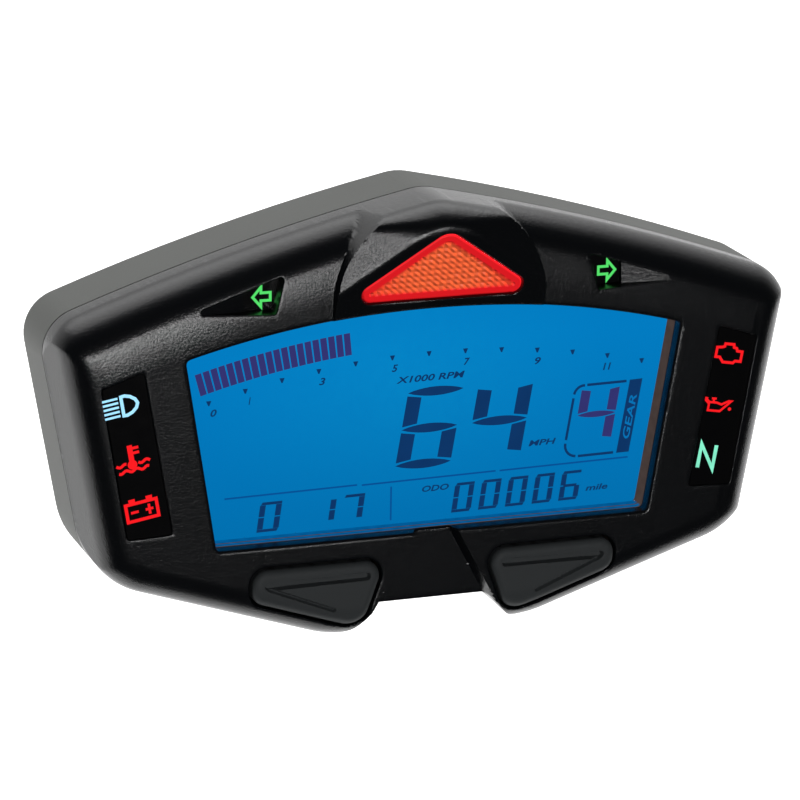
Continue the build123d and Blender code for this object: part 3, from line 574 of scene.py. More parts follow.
NEUTRAL_PRINT = glow("print_pale_green", (0.22, 0.80, 0.55), 1.1, 0.18, 1.2)
BEAM_PRINT = glow("print_pale_blue", (0.36, 0.74, 1.0), 1.15, 0.12, 0.8)
WINDOW_CLEAR = clear("window_clear", 0.55)
LINING_PAINTED_LIGHT = lining_glow()

SLOT_LOOKS = {
    "cover_plastic": COVER,
    "key_rubber": RUBBER,
    "clear_plastic": WINDOW_CLEAR,
    "display_face": LCD_GLOW,
    "red_lens": LENS_GLOW,
    # the display frame gets the same painted light from the display as the wall round it
    "frame_plastic": LINING_PAINTED_LIGHT,
    "display_glass": clear("display_glass", 0.9),
}
# colour, roughness, grain size, grain relief and what else differs
FINISHES = {
    "housing_plastic": ((0.095, 0.100, 0.092), 0.62, 0.22, 0.012, {"tint": 0.10}),
    "seal_rubber": ((0.012, 0.012, 0.012), 0.8, 0.5, 0.02, {"specular": 0.2}),
    "membrane": ((0.55, 0.55, 0.53), 0.85, 0.1, 0.01, {}),
    "brass": ((0.62, 0.43, 0.17), 0.32, 0.4, 0.004, {"metallic": 1.0}),
    "polarizer": ((0.05, 0.06, 0.07), 0.25, 0.8, 0.001, {}),
    "white_plastic": ((0.72, 0.72, 0.70), 0.55, 0.4, 0.006, {}),
    "reflector": ((0.85, 0.85, 0.86), 0.25, 1.0, 0.003, {}),
    "circuit_board": ((0.012, 0.075, 0.030), 0.42, 0.8, 0.01, {"tint": 0.2}),
    "lamp_body": ((0.80, 0.79, 0.70), 0.40, 0.4, 0.004, {}),
    "dark_lens": ((0.0022, 0.0022, 0.0026), 0.16, 2.5, 0.002, {"specular": 0.28, "rough_spread": 0.03}),
    "film": ((0.004, 0.004, 0.005), 0.30, 0.6, 0.002, {}),
    "chip_plastic": ((0.012, 0.012, 0.013), 0.50, 0.2, 0.006, {}),
    "can_metal": ((0.62, 0.62, 0.60), 0.28, 0.5, 0.003, {"metallic": 1.0}),
    "connector_plastic": ((0.022, 0.022, 0.024), 0.48, 0.25, 0.01, {}),
    "pin_metal": ((0.72, 0.52, 0.24), 0.25, 0.3, 0.002, {"metallic": 1.0}),
    "screw_steel": ((0.20, 0.20, 0.205), 0.34, 0.2, 0.004, {"metallic": 1.0}),
    "switch_plastic": ((0.030, 0.030, 0.031), 0.50, 0.2, 0.006, {}),
    "plunger_plastic": ((0.09, 0.09, 0.09), 0.50, 0.2, 0.006, {}),
}
for slot, (*finish, more) in FINISHES.items():
    SLOT_LOOKS[slot] = grained(slot, *finish, **more)

for part in frame["record"]["subparts"]:
    node = frame["nodes"][part["node"]]
    node.data.materials.clear()
    node.data.materials.append(SLOT_LOOKS[part["material_slot"]])


# ---------------------------------------------------------------- mesh building
def add_piece(name, points, faces, material, body="case", sharp=35):
    """A mesh piece from points (x, depth, z) in millimetres."""
    mesh = bpy.data.meshes.new(name)
    mesh.from_pydata([(x * MM, (depth - CASE_DEPTH) * MM, z * MM) for x, depth, z in points], [], faces)
    mesh.validate()
    mesh.polygons.foreach_set("use_smooth", [True] * len(mesh.polygons))
    mesh.set_sharp_from_angle(angle=radians(sharp))
    mesh.materials.append(material)
    piece = bpy.data.objects.new(name, mesh)
    bpy.context.scene.collection.objects.link(piece)
    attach(piece, body)
    return piece


def triangulated(loops, extra, keep):
    """Triangles over closed paths and extra points, where keep says yes at a triangle's middle.
    Returns the points, the triangles and, for each path, the number of its every point."""
    points, edges = [], []
    for loop in loops:
        first = len(points)
        points += [Vector(p) for p in loop]
        edges += [(first + k, first + (k + 1) % len(loop)) for k in range(len(loop))]
    points += [Vector(p) for p in extra]
    flat, _, triangles, origins, _, _ = delaunay_2d_cdt(points, edges, [], 0, 1e-5)
    number = {}
    for made, sources in enumerate(origins):
        for source in sources:
            number[source] = made
    flat = np.array([(p.x, p.y) for p in flat])
    triangles = np.array([t for t in triangles if len(t) == 3])
    middle = flat[triangles].mean(1)
    triangles = triangles[keep(middle[:, 0], middle[:, 1])]
    tracked, first = [], 0
    for loop in loops:
        tracked.append([number[first + k] for k in range(len(loop))])
        first += len(loop)
    return flat, triangles, tracked


def round_about(loop, x, z):
    """Which points lie in the box round a path, a millimetre larger on every side."""
    (low_x, low_z), (high_x, high_z) = np.min(loop, 0) - 1, np.max(loop, 0) + 1
    return (x > low_x) & (x < high_x) & (z > low_z) & (z < high_z)


def spaced_grid(step, low, high, loops, clearance):
    """Grid points at least a clearance away from every path."""
    xs = np.arange(low[0], high[0], step)
    zs = np.arange(low[1], high[1], step * 0.87)
    gx, gz = np.meshgrid(xs, zs)
    gx[1::2] += step / 2
    x, z = gx.ravel(), gz.ravel()
    keep = np.ones(len(x), bool)
    for loop in loops:
        near = round_about(loop, x, z)
        keep[near] &= distance_to(loop, x[near], z[near]) > clearance
    return x[keep], z[keep]


def inward(loop, distance):
    """A closed path moved inwards, without the points where it would fold over itself."""
    a = np.array(loop)
    run = np.roll(a, -1, 0) - np.roll(a, 1, 0)
    normal = np.stack([-run[:, 1], run[:, 0]], 1) / np.linalg.norm(run, axis=1)[:, None]
    moved = a + distance * normal
    keep = distance_to(loop, moved[:, 0], moved[:, 1]) > distance - 0.02
    return [tuple(p) for p in moved[keep]]


def hull(points):
    """The counter-clockwise convex path round some points."""
    ordered = sorted(set(points))

    def half(run):
        made = []
        for p in run:
            while len(made) > 1 and cross(np.subtract(made[-1], made[-2]), np.subtract(p, made[-1])) <= 0:
                made.pop()
            made.append(p)
        return made[:-1]

    return half(ordered) + half(ordered[::-1])


class Shell:
    """Points and faces of a piece that is put together from several parts."""

    def __init__(self):
        self.points, self.faces = [], []

    def add(self, points, faces):
        first = len(self.points)
        self.points += [tuple(map(float, p)) for p in points]
        self.faces += [tuple(int(first + k) for k in face) for face in faces]
        return first

    def sheet(self, x, depth, z, triangles, paths):
        """A sheet of triangles. Returns the points of its paths as they are numbered in the piece."""
        used = np.unique(triangles)
        number = -np.ones(len(x), int)
        number[used] = np.arange(len(used))
        first = self.add(np.stack([x[used], depth[used], z[used]], 1), number[triangles])
        return [[first + number[k] for k in path] for path in paths]

    def wall(self, front, back, outwards=True):
        """Four-sided faces from the points of a closed path to those of a like path behind it."""
        for k in range(len(front)):
            following = (k + 1) % len(front)
            a, b, c, d = front[k], front[following], back[following], back[k]
            self.faces.append((a, d, c, b) if outwards else (a, b, c, d))

    def skirt(self, path, depth, outwards=True):
        """A wall from a path straight back to a depth, and the face that closes it."""
        foot = [self.add([(self.points[k][0], depth, self.points[k][2])], []) for k in path]
        self.wall(path, foot, outwards)
        self.faces.append(tuple(foot[::-1]) if outwards else tuple(foot))

    def prism(self, loop, front, back):
        """A straight block over a counter-clockwise path. Its front depth may be a rule for x."""
        flat, triangles, tracked = triangulated([loop], [], lambda x, z: inside(loop, x, z))
        if len(flat) != len(loop):
            loop = hull(loop)
            flat, triangles, tracked = triangulated([loop], [], lambda x, z: inside(loop, x, z))
        count = len(loop)
        order = {n: k for k, n in enumerate(tracked[0])}
        caps = [[order[n] for n in t] for t in triangles]
        ahead = front if callable(front) else lambda x: front
        points = [(x, ahead(x), z) for x, z in loop] + [(x, back, z) for x, z in loop]
        faces = [tuple(t) for t in caps] + [tuple(k + count for k in t[::-1]) for t in caps]
        faces += [(k, k + count, (k + 1) % count + count, (k + 1) % count) for k in range(count)]
        self.add(points, faces)


# ---------------------------------------------------------------- front cover
LENS_GAP = 0.15
RIM_ANGLES = (8, 18, 30, 42, 54, 66, 77, 86)
EDGE_SHARES = (0.08, 0.3, 0.62, 1.0)
CASE_BOSS, BOARD_BOSS, BOSS_ROOT = 2.6, 2.2, WALL - 0.4
CASE_BOSS_END, BOARD_BOSS_END, PANEL_BACK = 12.0, 14.4, 3.4
POD_LEVEL = -28


def crease_points():
    """Points along the creases of the hood and of the V panel, which keep them crisp."""
    made = []
    for side in (1, -1):
        for offset in (0.0, -PANEL_WALL / 0.88):
            levels = np.arange(PANEL_TOP[1] - 0.7, NOTCH_TOP + 0.2, -0.4)
            made += [(side * (panel_half_width(v) + offset), v) for v in levels]
        for offset in (-0.4, -0.12, 0.12, 0.4):
            spots = np.arange(-6.0, 12.0, 0.35)
            made += [(side * (FLANK_POINT[0] + u), FLANK_POINT[1] + u * FLANK_SLOPE + offset) for u in spots]
    for outside in (-0.3, 0, 0.15, 0.3, 0.55):
        radius = HOOD_RADIUS + outside
        angles = np.arange(-0.2, pi + 0.2, 0.35 / radius)
        made += [(HOOD_CENTRE[0] + radius * cos(a), HOOD_CENTRE[1] + radius * sin(a)) for a in angles]
    return made


def build_cover():
    """The front cover: its curved front, its flat inside, the walls between them, ramps and screw bosses."""
    openings = [(window_outline, 0.5), (lambda grow=0.0: lamp_outline(LENS_GAP + grow), 0.25)]
    for outline in (turn_outline, strip_outline):
        openings += [(side, 0.22) for side in both_sides(outline)]
    openings += [(lambda grow=0.0, side=side: side(grow + 0.4), 0.35) for side in both_sides(key_outline)]
    case = resampled(CASE, STEP)
    holes = [resampled(counter_clockwise(outline(0.0)), STEP) for outline, _ in openings]
    loops = [case] + holes
    rings = [
        resampled(counter_clockwise(outline(radius * share)), STEP)
        for outline, radius in openings
        for share in EDGE_SHARES
    ]

    def free(x, z):
        """Which points lie in no opening."""
        return ~np.any([inside(hole, x, z) for hole in holes], 0)

    def apart(points):
        """Which points lie clear of every opening's edge, outside it."""
        return np.all([signed_distance(hole, points[:, 0], points[:, 1]) < -1e-3 for hole in holes], 0)

    def kept(x, z):
        return inside(case, x, z) & free(x, z)

    rim_rings = []
    for angle in RIM_ANGLES:
        rim_rings += inward(case, RIM_RADIUS * (1 - cos(radians(angle))))
    creases = crease_points()
    gx, gz = spaced_grid(STEP, GRID_LOW, GRID_HIGH, loops + rings, STEP * 0.45)
    held = (signed_distance(case, gx, gz) > STEP * 0.4) & free(gx, gz)
    lines = np.array(creases)
    for start in range(0, len(gx), 3000):
        part = slice(start, start + 3000)
        gap = np.hypot(gx[part, None] - lines[:, 0], gz[part, None] - lines[:, 1]).min(1)
        held[part] &= gap > 0.22
    extra = [p for ring in rings for p in ring] + rim_rings + creases + list(zip(gx[held], gz[held]))
    ex = np.array(extra)
    legal = (signed_distance(case, ex[:, 0], ex[:, 1]) > 1e-3) & apart(ex)
    flat, triangles, paths = triangulated(loops, [tuple(p) for p in ex[legal]], kept)
    x, z = flat[:, 0], flat[:, 1]
    depth = front_depth(x, z)
    for (_, radius), hole in zip(openings, holes):
        near = round_about(hole, x, z)
        depth[near] += rounding(distance_to(hole, x[near], z[near]), radius)
    lower = z < POD_LEVEL
    softened = rounding(distance_to(case, x[lower], z[lower]), 0.25)
    depth[lower] += softened * np.clip((POD_LEVEL - z[lower]) / 2, 0, 1)
    shell = Shell()
    front_paths = shell.sheet(x, depth, z, triangles, paths)

    inner_wall = [resampled(inward(case, s), 1.2) for s in (WALL - 0.05, WALL + 0.05)]
    bx, bz = spaced_grid(2.5, GRID_LOW, GRID_HIGH, loops + inner_wall, 0.9)
    held = (signed_distance(case, bx, bz) > 0.5) & free(bx, bz)
    ex = np.array([p for ring in inner_wall for p in ring] + list(zip(bx[held], bz[held])))
    flat, triangles, paths = triangulated(loops, [tuple(p) for p in ex[apart(ex)]], kept)
    x, z = flat[:, 0], flat[:, 1]
    inner = np.full(len(x), WALL)
    inner[(np.abs(x) < panel_half_width(z) + 1.2) & (z < WINDOW_FOOT)] = PANEL_BACK
    inner = np.maximum(inner, np.minimum(side_depth(x, z) + 1.5, PARTING_DEPTH))
    for side in both_sides(turn_outline):
        inner[distance_to(side(0), x, z) < 1.2] = TURN_BACK
    back = np.where(distance_to(case, x, z) < WALL, PARTING_DEPTH, inner)
    back_paths = shell.sheet(x, back, z, triangles[:, ::-1], paths)
    for number, (ahead, behind) in enumerate(zip(front_paths, back_paths)):
        shell.wall(ahead, behind, outwards=number == 0)
    for side in both_sides(turn_outline):
        tip = [p for p in resampled(side(0.02), STEP) if abs(p[0]) > TURN_RAMP[0][0]]
        shell.prism(hull(tip), ramp_depth, TURN_BACK)
    for px, pz in CASE_SCREWS:
        shell.prism(disc(px, pz, CASE_BOSS), BOSS_ROOT if px else PANEL_BACK - 0.2, CASE_BOSS_END)
    for px, pz in BOARD_SCREWS:
        shell.prism(disc(px, pz, BOARD_BOSS), BOSS_ROOT, BOARD_BOSS_END)
    cover = add_piece("front_cover_skin", shell.points, shell.faces, COVER, sharp=38)
    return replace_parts(cover, "front_cover")


def disc(x, z, radius, count=24):
    angles = [2 * pi * k / count for k in range(count)]
    return [(x + radius * cos(a), z + radius * sin(a)) for a in angles]


CASE_SCREWS = [(side * x, z) for x, z in ((53.7, 16.2), (46, -20.6), (19.8, 26.8)) for side in (1, -1)]
CASE_SCREWS.append((0, -24.4))
BOARD_SCREWS = [(side * x, z) for x, z in ((46.7, 18.7), (37.8, -22.6)) for side in (1, -1)]
build_cover()


# ---------------------------------------------------------------- keys
KEY_PROUD, KEY_BACK, KEY_GROOVE_DEPTH = 0.7, 5.0, 0.9
STEM_PLACE, STEM_RADIUS = (20.0, -26.2), 2.0
KEY_GROOVES = [((28.4, -24.5), (11.9, -24.3), 0.55), ((28.4, -24.9), (17.4, -29.5), 0.26)]


def key_groove(x, z):
    """The groove between the ring and the pad: wide along the top and narrow below."""
    depth = np.zeros(len(x))
    for (ax, az), (bx, bz), half in KEY_GROOVES:
        run = np.array((bx - ax, bz - az))
        share = np.clip(((x - ax) * run[0] + (z - az) * run[1]) / (run @ run), 0, 1)
        away = np.hypot(x - ax - share * run[0], z - az - share * run[1])
        wall = np.clip((half + 0.12 - away) / 0.3, 0, 1)
        depth = np.maximum(depth, wall * wall * (3 - 2 * wall) * min(1, 0.25 + half * 1.5))
    return depth


def build_key(side):
    """A rubber key: a rounded ring, grooves and a flush pad in one skin, with its skirt and its stem."""
    outline = resampled(key_outline(-0.02), STEP * 0.8)
    extra = []
    for shift in (0.1, 0.28, 0.55, 0.9, 1.3):
        extra += resampled(key_outline(-shift), STEP * 0.8)
    for a, b, half in KEY_GROOVES:
        start, run = np.array(a), np.subtract(b, a)
        across = np.array((-run[1], run[0])) / hypot(*run)
        count = ceil(hypot(*run) / 0.3)
        for offset in (-half - 0.12, -half + 0.03, -half + 0.18, 0.0, half - 0.18, half - 0.03, half + 0.12):
            extra += [tuple(start + run * k / count + across * offset) for k in range(count + 1)]
        for centre in (a, b):
            for radius in (half + 0.12, half + 0.03, max(half - 0.18, 0.05)):
                extra += disc(*centre, radius, 14)
    fine = 0.3
    gx, gz = spaced_grid(fine, (6, -37), (37, -18), [outline], 0.2)
    held = signed_distance(outline, gx, gz) > 0.2
    ex = np.array(extra + list(zip(gx[held], gz[held])))
    extra = [tuple(p) for p in ex[signed_distance(outline, ex[:, 0], ex[:, 1]) > 0.03]]
    flat, triangles, paths = triangulated([outline], extra, lambda x, z: inside(outline, x, z))
    x, z = flat[:, 0], flat[:, 1]
    depth = -KEY_PROUD + rounding(signed_distance(WHOLE, x, z), RIM_RADIUS + KEY_PROUD)
    depth += rounding(distance_to(outline, x, z), 1.3) * 0.75
    depth += KEY_GROOVE_DEPTH * key_groove(x, z)
    right = side == "right"
    if not right:
        x, triangles = -x, triangles[:, ::-1]
    shell = Shell()
    (top,) = shell.sheet(x, depth, z, triangles, paths)
    shell.skirt(top, KEY_BACK, outwards=right)
    stem_x, stem_z = STEM_PLACE
    shell.prism(disc(stem_x if right else -stem_x, stem_z, STEM_RADIUS, 28), KEY_BACK - 0.2, STEM_END)
    name, body = f"{side}_key_skin", f"{side}_key"
    key = add_piece(name, shell.points, shell.faces, RUBBER, body=body, sharp=50)
    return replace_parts(key, f"{side}_key")


STEM_END = 14.5 - 3.4 - 0.8 + 0.3 - 1.0 - 0.02
for side in ("left", "right"):
    build_key(side)


# ---------------------------------------------------------------- warning lens
def build_lens():
    """The red lens: a plain border round a field of small prisms."""
    outline = resampled(lamp_outline(0.0), STEP * 0.8)
    border = lamp_outline(-LENS_BORDER)
    half_x, half_z, foot = 0.575, 0.475, 18
    grid = np.array([(k * half_x, foot + n * half_z) for k in range(-34, 35) for n in range(36)])
    extra = [tuple(p) for p in grid[signed_distance(border, grid[:, 0], grid[:, 1]) > 0.12]]
    for shift in (0.12, 0.3, 0.6, 1.05, LENS_BORDER):
        extra += resampled(lamp_outline(-shift), STEP * 0.8)
    flat, triangles, paths = triangulated([outline], extra, lambda x, z: inside(outline, x, z))
    x, z = flat[:, 0], flat[:, 1]
    depth = facet_depth(z) + LENS_DROP + rounding(distance_to(outline, x, z), 0.3)
    within = signed_distance(border, x, z)
    odd = [np.round(places).astype(int) % 2 == 1 for places in (x / half_x, (z - foot) / half_z)]
    uneven = 0.15 + 0.12 * np.abs(np.sin(x * 3.7 + z * 1.9) * np.cos(z * 4.3 - x * 0.8))
    depth += np.where((within > 0.1) & (odd[0] | odd[1]), uneven, 0)
    shell = Shell()
    (top,) = shell.sheet(x, depth, z, triangles, paths)
    shell.skirt(top, 3.0)
    lens = add_piece("warning_lens_prisms", shell.points, shell.faces, LENS_GLOW, sharp=12)
    share = lens.data.attributes.new("prism", "FLOAT", "POINT")
    points = np.array(shell.points)
    field = np.clip(signed_distance(border, points[:, 0], points[:, 2]) / 0.5, 0, 1)
    share.data.foreach_set("value", field.astype(np.float32))
    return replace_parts(lens, "warning_lens")


LENS_BORDER, LENS_DROP = 1.15, 0.35
build_lens()


# ---------------------------------------------------------------- flat prints
def ribbon(path, width, loop=False):
    """Closed polygons, one for each run of a path, that make a line of a given width with mitred corners."""
    p = np.array(path, float)
    count = len(p)
    sides = []
    for k in range(count):
        before = p[k] - p[k - 1] if (k > 0 or loop) else p[k + 1] - p[k]
        after = p[(k + 1) % count] - p[k] if (k < count - 1 or loop) else p[k] - p[k - 1]
        before, after = before / np.linalg.norm(before), after / np.linalg.norm(after)
        normal = np.array((-(before + after)[1], (before + after)[0]))
        normal /= np.linalg.norm(normal)
        reach = width / 2 / max(0.35, normal @ np.array((-after[1], after[0])))
        sides.append((p[k] + normal * reach, p[k] - normal * reach))
    made = []
    for k in range(count if loop else count - 1):
        (left, right), (next_left, next_right) = sides[k], sides[(k + 1) % count]
        made.append(counter_clockwise([tuple(corner) for corner in (right, next_right, next_left, left)]))
    return made


def ribbons(paths, width):
    return [loop for path in paths for loop in ribbon(path, width)]


def box(left, low, right, high):
    return [(left, low), (right, low), (right, high), (left, high)]


def placed(polygons, centre, turn, scale, flip=False):
    """Polygons turned, scaled and moved to a centre. A flip mirrors them first."""
    c, s = cos(turn), sin(turn)
    made = []
    for loop in polygons:
        points = [(x * scale * (-1 if flip else 1), z * scale) for x, z in loop]
        turned = [(centre[0] + x * c - z * s, centre[1] + x * s + z * c) for x, z in points]
        made.append(counter_clockwise(turned))
    return made


PRINT_THICKNESS = 0.03


def add_print(name, polygons, depth, material):
    """A thin print made of flat closed polygons."""
    shell = Shell()
    for loop in polygons:
        shell.prism(loop, depth, depth + PRINT_THICKNESS)
    return add_piece(name, shell.points, shell.faces, material, sharp=30)


# ---------------------------------------------------------------- display
LCD_TURN = 0.015
PRINT_DEPTH = LCD_DEPTH - 0.06


def on_display(points):
    """Display artwork is printed a little askew of the case."""
    return [(x * cos(LCD_TURN) - z * sin(LCD_TURN), x * sin(LCD_TURN) + z * cos(LCD_TURN)) for x, z in points]


def display_print(name, polygons, material=SEGMENT):
    add_print(name, [on_display(loop) for loop in polygons], PRINT_DEPTH, material)


def display_text(
    name, text, place, height, width, material=SEGMENT, lift=0.0, turn=0.0, slant=0.25, weight=0.02
):
    """Plain lettering on the display, scaled to a height and a width."""
    data = bpy.data.curves.new(name, "FONT")
    data.body = text
    data.extrude = 0.5
    data.shear = slant
    data.offset = weight
    data.resolution_u = 3
    source = bpy.data.objects.new(name + "_source", data)
    bpy.context.scene.collection.objects.link(source)
    bpy.context.view_layer.update()
    mesh = bpy.data.meshes.new_from_object(source.evaluated_get(bpy.context.evaluated_depsgraph_get()))
    bpy.data.objects.remove(source)
    co = np.array([v.co for v in mesh.vertices])
    low, high = co.min(0), co.max(0)
    u = (co[:, 0] - (low[0] + high[0]) / 2) * width / (high[0] - low[0])
    v = (co[:, 1] - (low[1] + high[1]) / 2) * height / (high[1] - low[1])
    ((centre_x, centre_z),) = on_display([place])
    x = centre_x + u * cos(turn) - v * sin(turn)
    z = centre_z + u * sin(turn) + v * cos(turn)
    y = PRINT_DEPTH - lift + np.where(co[:, 2] > 0, 0, PRINT_THICKNESS)
    faces = [tuple(p.vertices) for p in mesh.polygons]
    bpy.data.meshes.remove(mesh)
    return add_piece(name, list(zip(x, y, z)), faces, material, sharp=30)


def lens_segment(left, right, half):
    """A segment with two curved edges and pointed ends."""
    (ax, az), (bx, bz) = left, right
    count = 10

    def edge(k, side):
        bulge = side * half * sin(pi * k / count) ** 0.75
        return (ax + (bx - ax) * k / count, az + (bz - az) * k / count + bulge)

    bottom = [edge(k, -1) for k in range(1, count)]
    top = [edge(k, 1) for k in range(count, -1, -1)]
    return counter_clockwise(bottom + top)


def big_digit(digit, foot, width, height, stroke, slant):
    """A leaning digit with curved level segments and straight upright ones. foot is its lowest left tip."""

    def at(u, v):
        return (foot[0] + u + slant * v, foot[1] + v)

    bend, outer, inner = stroke * 0.31, 0.2 * stroke, 0.36 * stroke
    levels = {"d": 0.0, "g": height * 0.495, "a": height}
    made = []
    for name, level in levels.items():
        if name in DIGITS[digit]:
            made.append(lens_segment(at(0, level), at(width, level), bend))
    uprights = {"e": (0, "d", "g"), "f": (0, "g", "a"), "c": (1, "d", "g"), "b": (1, "g", "a")}
    for name, (right, low, high) in uprights.items():
        if name in DIGITS[digit]:
            near, far = (width, width - stroke) if right else (0, stroke)
            corners = [at(near, levels[low] + outer), at(far, levels[low] + inner)]
            corners += [at(far, levels[high] - inner), at(near, levels[high] - outer)]
            made.append(counter_clockwise(corners))
    return made


def small_digit(digit, foot, width, height, stroke):
    """A leaning digit with thin level segments and wide upright ones. foot is its lower left corner."""

    def at(u, v):
        return (foot[0] + u + SMALL_SLANT * v, foot[1] + v)

    half, gap, thin, near, far = height / 2, 0.09, 0.45, stroke * 0.6, width - stroke * 0.6
    levels = {
        "a": [(0.12, height - thin), (width, height - thin), (width, height), (0.35, height)],
        "d": [(0, 0), (width - 0.3, 0), (width - 0.1, thin), (0, thin)],
        "g": box(near, half - thin / 2, far, half + thin / 2),
    }
    upper, lower = (half + gap, height - thin * 1.1), (thin * 1.1, half - gap)
    for name, start, (low, high) in (("f", 0, upper), ("e", 0, lower), ("b", 1, upper), ("c", 1, lower)):
        left = width - stroke if start else 0
        levels[name] = box(left, low, left + stroke, high)
    shapes = [corners for name, corners in levels.items() if name in DIGITS[digit]]
    return [counter_clockwise([at(u, v) for u, v in corners]) for corners in shapes]


SMALL_SLANT = 0.155
DIGITS = {"0": "abcdef", "1": "bc", "4": "fgbc", "6": "afgecd", "7": "abc"}
SPEED_SIZE = 9.5, 12.05, 2.45, 0.182
GEAR_SIZE = 6.7, 9.1, 1.65, 0.17
CLOCK_STROKE, ODOMETER_SIZE, ODOMETER_PITCH = 0.95, (3.35, 4.95, 0.88), 4.67
ARC_CENTRE = (0.3, -136.9)
BAR_LOW, BAR_HIGH, BAR_START, BAR_STEP = 148.95, 152.6, -14.90, 0.497
TICK_RADIUS, TICK_START, TICK_STEP = 147.35, -14.53, 2.42
NUMBER_RADIUS, NUMBER_START = 145.55, -14.40
FRAME_WIDTH, DIVIDER_WIDTH = 0.42, 0.26


def polar(radius, degrees):
    """A point on the tachometer's scale, from its angle to the right of upright."""
    return (ARC_CENTRE[0] + radius * sin(radians(degrees)), ARC_CENTRE[1] + radius * cos(radians(degrees)))


def build_display():
    """The display's contents: tachometer, speed, gear, clock, odometer and their labels."""
    bars = []
    for k in range(20):
        start = BAR_START + BAR_STEP * k
        corners = ((BAR_LOW, 0.0), (BAR_HIGH, 0.02), (BAR_HIGH, 0.41), (BAR_LOW, 0.41))
        bars.append(counter_clockwise([polar(radius, start + shift) for radius, shift in corners]))
    display_print("tachometer_bars", bars, SEGMENT_WARM)
    ticks = []
    for k in range(13):
        x, z = polar(TICK_RADIUS, TICK_START + TICK_STEP * k)
        corners = ((-0.42, 0.38), (-0.1, -0.42), (0.1, -0.42), (0.42, 0.38))
        ticks.append(counter_clockwise([(x + across, z + up) for across, up in corners]))
    display_print("tachometer_ticks", ticks)
    for k in (0, 1, 3, 5, 7, 9, 11):
        place = polar(NUMBER_RADIUS, NUMBER_START + TICK_STEP * k)
        display_text(f"tachometer_number_{k}", str(k), place, 1.2, {1: 0.35, 11: 1.4}.get(k, 1.05))
    speed = big_digit("6", (-5.5, -7.95), *SPEED_SIZE) + big_digit("4", (6.57, -7.95), *SPEED_SIZE)
    display_print("speed_digits", speed)
    display_print("gear_digit", big_digit("4", (25.25, -7.1), *GEAR_SIZE), SEGMENT_WARM)
    frame_lines = [
        [(27.7, 2.5), (34.6, 2.5)],
        arc_through((25.4, 1.1), (26.05, 2.1), (27.3, 2.48), 8),
        [(25.3, 0.45), (24.05, -6.55)],
        arc_through((23.95, -7.15), (24.35, -8.75), (25.75, -9.45), 8),
        [(26.2, -9.5), (32.4, -9.5)],
    ]
    display_print("gear_frame", ribbons(frame_lines, FRAME_WIDTH))
    display_print("gear_label_bar", [[(32.95, -9.65), (35.15, -9.65), (37.4, 2.7), (35.2, 2.65)]])
    upright = {"lift": 0.03, "turn": radians(90 - 10.3) + LCD_TURN, "slant": 0.15, "weight": 0.015}
    display_text("gear_label", "GEAR", (35.2, -3.6), 1.25, 7.6, LCD_TEXT, **upright)
    dividers = [
        [(-34.3, -10.4), (-12.0, -10.4)],
        [(-11.2, -10.52), (11.8, -10.52)],
        [(12.5, -10.55), (35.0, -10.55)],
        [(-6.2, -11.3), (-6.3, -17.0)],
    ]
    display_print("display_dividers", ribbons(dividers, DIVIDER_WIDTH), SEGMENT_FAINT)
    clock = small_digit("0", (-29.05, -16.62), 3.65, 4.95, CLOCK_STROKE)
    clock += small_digit("1", (-19.72, -16.28), 3.65, 4.35, CLOCK_STROKE)
    clock += small_digit("7", (-14.85, -16.35), 3.55, 4.45, CLOCK_STROKE)
    display_print("clock_digits", clock)
    distance = []
    for k, digit in enumerate("00006"):
        distance += small_digit(digit, (4.1 + ODOMETER_PITCH * k, -16.85), *ODOMETER_SIZE)
    display_print("odometer_digits", distance)
    for name, text, place, height, width in (
        ("label_rpm", "X1000 RPM", (0.55, 6.45), 1.12, 11.7),
        ("label_mph", "MPH", (19.9, -6.45), 0.98, 4.8),
        ("label_odo", "ODO", (1.4, -12.3), 1.02, 4.6),
        ("label_mile", "mile", (29.55, -15.15), 1.0, 3.9),
    ):
        display_text(name, text, place, height, width, turn=LCD_TURN)


build_display()
LINING_FRONT, LINING_BACK = 2.45, 4.93


def build_lining():
    """The thin wall round the display behind the pane."""
    outer = resampled(window_outline(-0.02), 1.5)
    inner = [(x * (1 - 0.1 / 41), z * (1 - 0.1 / 18)) for x, z in outer]
    front, back = LINING_FRONT, LINING_BACK
    shell, rings = Shell(), []
    for depth, loop in ((front, inner), (back, inner), (back, outer), (front, outer)):
        first = shell.add([(x, depth, z) for x, z in loop], [])
        rings.append(range(first, first + len(loop)))
    for ring, following in zip(rings, rings[1:] + rings[:1]):
        shell.wall(ring, following, outwards=False)
    add_piece("display_lining", shell.points, shell.faces, LINING_PAINTED_LIGHT)


build_lining()


# ---------------------------------------------------------------- telltale symbols
def beam_symbol():
    """High beam: five level rays and the outline of a lamp."""
    upper = [(2.35, 0.7), (1.6, 1.3), (0.75, 1.6)]
    lamp = [(0.15, 1.55), (0.15, -1.55), (0.75, -1.6), (1.6, -1.3), (2.35, -0.7), (2.65, 0.0)] + upper
    rays = [[(-2.9, 1.44 - 0.72 * k), (-0.4, 1.44 - 0.72 * k)] for k in range(5)]
    return ribbon(lamp, 0.52, loop=True) + ribbons(rays, 0.36)


def coolant_symbol():
    """Coolant temperature: a thermometer above two waves."""
    made = ribbon([(-0.15, 2.3), (-0.15, -0.7)], 0.85)
    made += [box(0.2, 1.5, 1.25, 1.95), box(0.2, 0.7, 1.25, 1.15), disc(-0.15, -0.95, 0.78, 16)]
    for low, start, end in ((-0.75, -2.75, -1.1), (-0.75, 0.85, 2.75), (-1.85, -2.5, 2.45)):
        count = max(6, int((end - start) * 4))
        places = [start + (end - start) * k / count for k in range(count + 1)]
        made += ribbon([(x, low + 0.2 * sin(x * 3.6)) for x in places], 0.46)
    return [counter_clockwise(loop) for loop in made]


